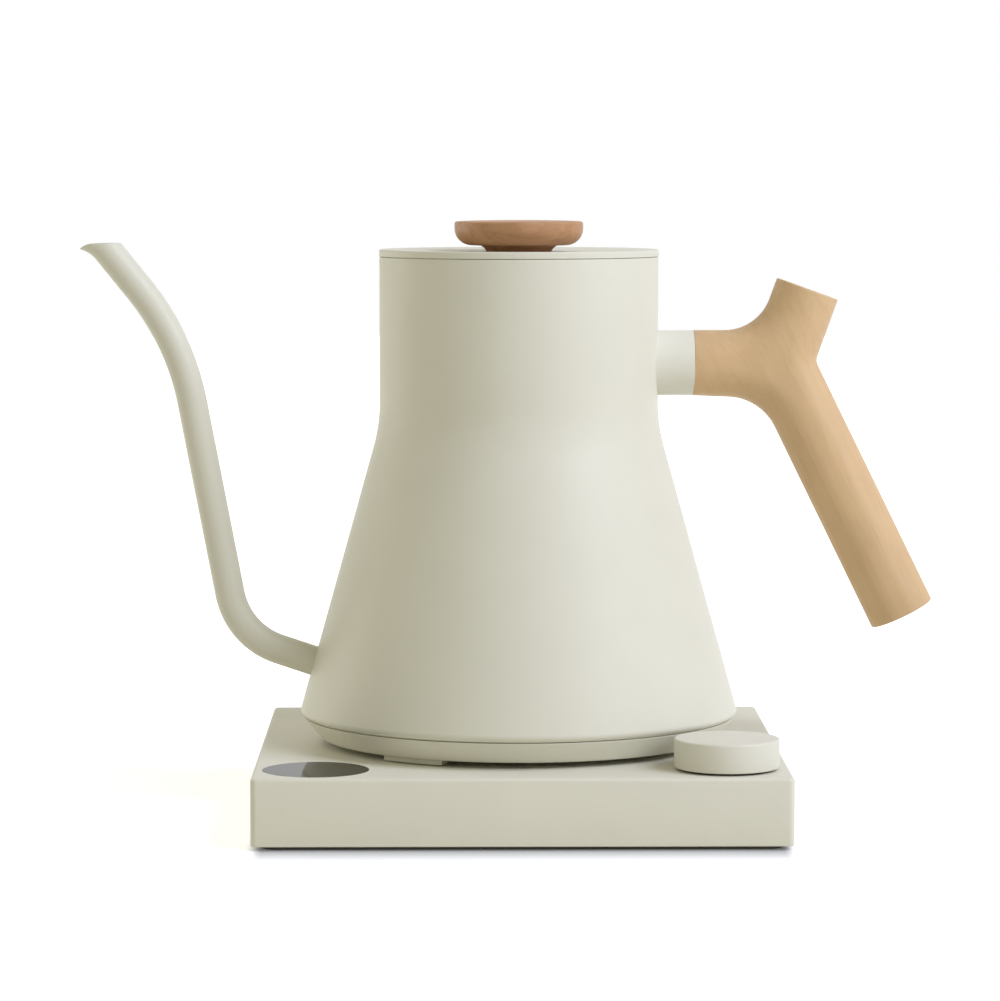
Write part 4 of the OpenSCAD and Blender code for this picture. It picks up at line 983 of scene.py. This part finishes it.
dress(moulded("plate_plastic", (0.040, 0.040, 0.041), 0.52), "base_plate")
dress(rubber("ring_rubber", (0.15, 0.148, 0.144)), "foot_ring")


# ---------------- power connector
# The round socket that the kettle sits over, moulded in black heat-proof plastic.
# Its contacts are a sprung sleeve and two curved leaves of plated brass.

dress(moulded("socket_plastic", (0.030, 0.030, 0.031), 0.44, 0.8), "base_connector")
dress(worked_metal("ring_brass", (0.80, 0.60, 0.27), 0.30, (0, 0, 0)), "contact_springs")


# ---------------- power board
# Glass-fibre board under green lacquer, with tinned pads. It carries the relay,
# the taped transformer, a capacitor and the block where the supply comes in.

def lacquered_board(name, turn):
    """Green solder lacquer over copper tracks that stand up a little, with tinned pads between them."""
    board, tree, place = new_finish(name)
    laid = given(tree, "ShaderNodeMapping", Vector=place, Rotation=(0, 0, turn))
    tracks = add(
        tree, "ShaderNodeTexBrick", offset=0.37, offset_frequency=3, squash=1.6, squash_frequency=4,
        Vector=laid, Scale=120, Mortar_Size=0.045, Mortar_Smooth=0.25, Brick_Width=0.9,
        Row_Height=0.21,
    )
    pads = add(tree, "ShaderNodeTexVoronoi", Vector=laid, Scale=260, Randomness=0.35)
    weave = add(
        tree, "ShaderNodeTexWave", wave_type="BANDS", bands_direction="DIAGONAL", Vector=laid,
        Scale=620, Distortion=0.4,
    )
    pad_share = ranged(tree, pads.outputs["Distance"], 0.15, 0.19, 1, 0)
    green = blend(tree, tracks.outputs["Fac"], (0.012, 0.085, 0.030), (0.030, 0.165, 0.060))
    woven = blend(tree, 0.16, green, weave.outputs["Color"], "MULTIPLY")
    dotted = blend(tree, pad_share, woven, (0.62, 0.62, 0.60))
    gloss = ranged(tree, weave.outputs["Fac"], 0, 1, 0.28, 0.38)
    raised = reckon(tree, "MAXIMUM", tracks.outputs["Fac"], pad_share)
    skin = bumped(tree, 0.45, 0.00006, raised)
    surface(tree, dotted, gloss, skin, Metallic=pad_share)
    return board


dress(lacquered_board("power_lacquer", 0.0), "power_board")
dress(moulded("relay_plastic", (0.030, 0.085, 0.24), 0.36, 0.5), "relay")
dress(moulded("block_plastic", (0.035, 0.16, 0.075), 0.42, 0.6), "terminal_block")
dress(moulded("capacitor_skin", (0.55, 0.42, 0.10), 0.34, 0.4), "capacitor")

tape, tree, place = new_finish("transformer_tape")
wraps = add(
    tree, "ShaderNodeTexWave", wave_type="BANDS", bands_direction="Z", wave_profile="SAW",
    Vector=place, Scale=95, Distortion=0.5, Detail=2,
)
creases = noise(tree, place, 340, 4, 0.6)
tape_tone = blend(tree, creases, (0.52, 0.33, 0.035), (0.72, 0.52, 0.075))
lapped = blend(tree, 0.35, tape_tone, wraps.outputs["Color"], "MULTIPLY")
tape_gloss = ranged(tree, creases, 0.3, 0.7, 0.26, 0.42)
lap_edges = bumped(tree, 0.5, 0.0001, wraps.outputs["Fac"])
tape_creases = bumped(tree, 0.25, 0.0001, creases, lap_edges)
surface(tree, lapped, tape_gloss, tape_creases)
dress(tape, "transformer")


# ---------------- control board
# A square board under the window, with the dark display on its upper side and a
# small round buzzer on its underside.

dress(lacquered_board("control_lacquer", 0.6), "control_board")
dress(moulded("display_plastic", (0.020, 0.020, 0.021), 0.34, 0.4), "display_module")
dress(moulded("buzzer_plastic", (0.024, 0.024, 0.025), 0.46), "buzzer")


# ---------------- wiring in the base
# Three red silicone-sleeved leads feed the connector and two grey flat cables join
# the boards. A rubber gland and a screwed clamp hold the supply cord's place.

dress(rubber("lead_sleeve", (0.42, 0.030, 0.022), 0.46, 0.04), "base_leads")
dress(rubber("gland_rubber", (0.030, 0.030, 0.031), 0.7), "cord_gland")
dress(moulded("clamp_plastic", (0.045, 0.045, 0.046), 0.5), "cord_clamp")

flat_cable, tree, place = new_finish("flat_cable")
cores = add(
    tree, "ShaderNodeTexWave", wave_type="BANDS", bands_direction="Y", Vector=place,
    Scale=250, Distortion=0,
)
cable_clouds = noise(tree, place, 180, 3, 0.6)
cable_tone = blend(tree, cable_clouds, (0.40, 0.40, 0.41), (0.53, 0.53, 0.54))
cable_cored = blend(tree, 0.3, cable_tone, cores.outputs["Color"], "MULTIPLY")
cable_gloss = ranged(tree, cable_clouds, 0.3, 0.7, 0.38, 0.52)
cable_ribs = bumped(tree, 0.6, 0.0002, cores.outputs["Fac"])
surface(tree, cable_cored, cable_gloss, cable_ribs)
dress(flat_cable, "signal_cable")


# ---------------- dial's encoder
# A push-and-turn encoder on its own small board, fixed by a nut under the dial.
# Its shaft carries the white rotor and the dark hub that the dial is pressed on.

dress(lacquered_board("dial_lacquer", 0.3), "dial_board")
dress(worked_metal("encoder_zinc", (0.60, 0.60, 0.61), 0.38, dial_at), "encoder_body", "encoder_nut")
dress(worked_metal("shaft_steel", (0.66, 0.66, 0.66), 0.26, dial_at, stain=0.06), "encoder_shaft")
dress(moulded("rotor_plastic", (0.68, 0.68, 0.63), 0.42, 0.5), "encoder_rotor")
dress(moulded("hub_plastic", (0.045, 0.045, 0.046), 0.48), "dial_hub")


# ---------------- heated floor
# A pressed stainless floor welded into the body, with three threaded posts, an
# aluminium plate and a ring-shaped heater under it, a temperature probe in a seal,
# and a safety cutout.

dress(worked_metal("floor_steel", (0.62, 0.62, 0.62), 0.34, (0, 0, 0)), "kettle_floor")
dress(worked_metal("spread_aluminium", (0.76, 0.76, 0.77), 0.42, grain=(0.05, 1, 1)), "heat_spreader")
dress(worked_metal("heater_steel", (0.52, 0.50, 0.47), 0.46, (0, 0, 0), stain=0.2), "heater_tube")
dress(worked_metal("stud_steel", (0.60, 0.60, 0.61), 0.34), "floor_studs")
probe_at = (0.0143, -0.0248, 0)
dress(worked_metal("probe_steel", (0.66, 0.66, 0.66), 0.26, probe_at, stain=0.05), "temperature_probe")
dress(rubber("seal_red", (0.34, 0.075, 0.045), 0.56, 0.04), "probe_seal")

ceramic, tree, place = new_finish("fired_ceramic")
fired = noise(tree, place, 1300, 4, 0.7)
specks = add(tree, "ShaderNodeTexVoronoi", Vector=place, Scale=900)
speck_share = ranged(tree, specks.outputs["Distance"], 0.10, 0.18, 0.5, 0)
ceramic_tone = blend(tree, fired, (0.62, 0.57, 0.47), (0.74, 0.70, 0.60))
ceramic_specked = blend(tree, speck_share, ceramic_tone, (0.40, 0.34, 0.26))
ceramic_gloss = ranged(tree, fired, 0.3, 0.7, 0.52, 0.72)
ceramic_skin = bumped(tree, 0.35, 0.00005, fired)
surface(tree, ceramic_specked, ceramic_gloss, ceramic_skin)
dress(ceramic, "thermal_cutout")


# ---------------- kettle connector
# The mating half under the kettle: a black moulding with a plated centre pin and
# ring blade, wired to the heater by two short sleeved leads.

dress(moulded("plug_plastic", (0.028, 0.028, 0.029), 0.42, 0.8), "kettle_connector")
dress(worked_metal("pin_brass", (0.80, 0.60, 0.27), 0.24, (0, 0, 0), stain=0.08), "connector_pins")
dress(rubber("heater_sleeve", (0.40, 0.032, 0.024), 0.48, 0.04), "kettle_leads")


# ---------------- inside the handle and the lid
# A welded stud and a brass insert hold the wood; a screw and an insert hold the
# knob. The lid's spun steel plug carries a soft clear seal.

dress(worked_metal("handle_steel", (0.62, 0.62, 0.63), 0.32, grain=(0.05, 1, 1)), "handle_stud")
dress(worked_metal("insert_brass", (0.78, 0.57, 0.24), 0.30, grain=(0.3, 1, 1)), "handle_insert")
dress(worked_metal("knob_brass", (0.78, 0.57, 0.24), 0.30, (0, 0, 0)), "knob_insert")
dress(worked_metal("knob_steel", (0.62, 0.62, 0.63), 0.28, (0, 0, 0), stain=0.06), "knob_screw")
dress(worked_metal("lid_steel", (0.60, 0.60, 0.60), 0.44, (0, 0, 0), stain=0.06), "lid_plug")
dress(rubber("clear_silicone", (0.68, 0.68, 0.65), 0.45, 0.03), "lid_seal")


# ---------------- screws
# Small zinc-plated machine screws with a chamfered round head, a hex socket and a
# cut thread. They hold the plate, the connector, the boards, the clamp and the cap.

screw_zinc = worked_metal("screw_zinc", (0.64, 0.64, 0.65), 0.27, grain=(1, 1, 6), stain=0.07)

lengths = ("Head radius", "Head height", "Shank radius", "Length", "Socket size", "Thread pitch")
screw_inputs = [(label, "NodeSocketFloat") for label in lengths] + [("Material", "NodeSocketMaterial")]
screw_tree, screw_in, screw_out = new_tree("machine_screw", *screw_inputs)
screw_given = screw_in.outputs


def screw_node(kind, **sockets):
    """The first output of a new node of the screw's tree."""
    return given(screw_tree, kind, **sockets)


def sum_of(kind, a, b):
    """A length worked out from the screw's named sizes."""
    return reckon(screw_tree, kind, a, b)


def cylinder(sides, radius, depth):
    """An upright cylinder round the middle of its own height."""
    return screw_node("GeometryNodeMeshCylinder", Vertices=sides, Radius=radius, Depth=depth)


def taper(sides, top, bottom, depth):
    """An upright cut-off cone that starts at its foot."""
    return screw_node(
        "GeometryNodeMeshCone", Vertices=sides, Radius_Top=top, Radius_Bottom=bottom, Depth=depth,
    )


def lifted(shape, height):
    """A shape moved up by a height."""
    up = screw_node("ShaderNodeCombineXYZ", Z=height)
    return screw_node("GeometryNodeTransform", Geometry=shape, Translation=up)


head_r, head_h = screw_given["Head radius"], screw_given["Head height"]
shank_r, shank_l = screw_given["Shank radius"], screw_given["Length"]
bevel = sum_of("MULTIPLY", head_h, 0.22)
slim = sum_of("SUBTRACT", head_r, bevel)
drum_h = sum_of("SUBTRACT", head_h, bevel)
below = sum_of("MULTIPLY", head_h, -1.0)
head_drum = lifted(cylinder(40, head_r, drum_h), sum_of("MULTIPLY", drum_h, -0.5))
head_cone = lifted(taper(40, head_r, slim, bevel), below)
head = joined(
    screw_tree, "GeometryNodeMeshBoolean", (head_drum, head_cone), 1, operation="UNION", solver="EXACT",
)
hexagon = lifted(cylinder(6, screw_given["Socket size"], sum_of("MULTIPLY", head_h, 1.1)), below)
socketed = screw_node("GeometryNodeMeshBoolean", operation="DIFFERENCE", solver="EXACT", N0=head, N1=hexagon)

core_r = sum_of("MULTIPLY", shank_r, 0.80)
tip_h = sum_of("MULTIPLY", shank_r, 0.35)
core_l = sum_of("SUBTRACT", shank_l, tip_h)
core = lifted(cylinder(24, core_r, core_l), sum_of("MULTIPLY", core_l, 0.5))
tip = lifted(taper(24, sum_of("MULTIPLY", core_r, 0.6), core_r, tip_h), core_l)
thread_l = sum_of("MULTIPLY", core_l, 0.86)
turns = sum_of("DIVIDE", thread_l, screw_given["Thread pitch"])
ridge_size = sum_of("MULTIPLY", shank_r, 0.155)
spiral_r = sum_of("SUBTRACT", shank_r, ridge_size)
thread_line = screw_node(
    "GeometryNodeCurveSpiral", Resolution=18, Rotations=turns, Start_Radius=spiral_r,
    End_Radius=spiral_r, Height=thread_l,
)
ridge = screw_node("GeometryNodeCurvePrimitiveCircle", Resolution=4, Radius=ridge_size)
thread = screw_node("GeometryNodeCurveToMesh", Curve=thread_line, Profile_Curve=ridge, Fill_Caps=True)
cut_thread = lifted(thread, sum_of("MULTIPLY", core_l, 0.1))
whole_screw = joined(screw_tree, "GeometryNodeJoinGeometry", (socketed, core, tip, cut_thread))
own_turn = add(screw_tree, "GeometryNodeInputNamedAttribute", data_type="FLOAT_VECTOR", Name="turn")
set_in = screw_node(
    "GeometryNodeInstanceOnPoints", Points=screw_given["Geometry"], Instance=whole_screw,
    Rotation=own_turn.outputs["Attribute"],
)
end_tree(screw_tree, set_in, screw_given, screw_out)


def screws(name, body, replaced, *groups):
    """One piece of all the screws of a kind, in groups of places, a length and whether they point down."""
    whole = bmesh.new()
    for places, length, points_down in groups:
        spots = bpy.data.meshes.new(name + "_places")
        spots.from_pydata(places, [], [])
        turned_by = spots.attributes.new("turn", "FLOAT_VECTOR", "POINT")
        for k in range(len(places)):
            turned_by.data[k].vector = (pi if points_down else 0.0, 0.0, 0.9 * k + 0.3)
        whole.from_mesh(grown(
            name + "_places", spots, screw_tree, Head_radius=0.00285, Head_height=0.00185,
            Shank_radius=0.00146, Length=length, Socket_size=0.0014, Thread_pitch=0.0006,
            Material=screw_zinc,
        ))
    finished = bpy.data.meshes.new(name)
    whole.to_mesh(finished)
    whole.free()
    finish(name, finished, body, screw_zinc, replaced, sharp=30)


def four_spots(x, y, to_side, to_back, z):
    """The four corners of a level rectangle."""
    return [(x + i * to_side, y + j * to_back, z) for i in (-1, 1) for j in (-1, 1)]


plate_spots = [
    (x, y, 0.00265) for x, y in ((-0.072, 0.072), (0.072, 0.072), (-0.035, -0.072), (0.035, -0.072))
]
connector_spots = round_spots(0.0252, 90, 0.01295)
power_spots = four_spots(-0.041, 0.049, 0.022, 0.019, 0.00835)
control_spots = four_spots(-0.0665, -0.0665, 0.014, 0.014, 0.01455)
clamp_spots = [(x, 0.0745, 0.01785) for x in (-0.009, 0.009)]
cap_spots = round_spots(stud_ring_r, first_stud, 0.02755)
screws("screws_in_plate", "base", "plate_screws", (plate_spots, 0.0080, False))
screws("screws_in_connector", "base", "connector_screws", (connector_spots, 0.0060, False))
screws(
    "screws_in_boards", "base", "board_screws",
    (power_spots, 0.0042, True), (control_spots, 0.0052, False),
)
screws("screws_in_clamp", "base", "clamp_screws", (clamp_spots, 0.0112, True))
screws("screws_in_cap", "kettle", "cap_screws", (cap_spots, 0.0090, False))
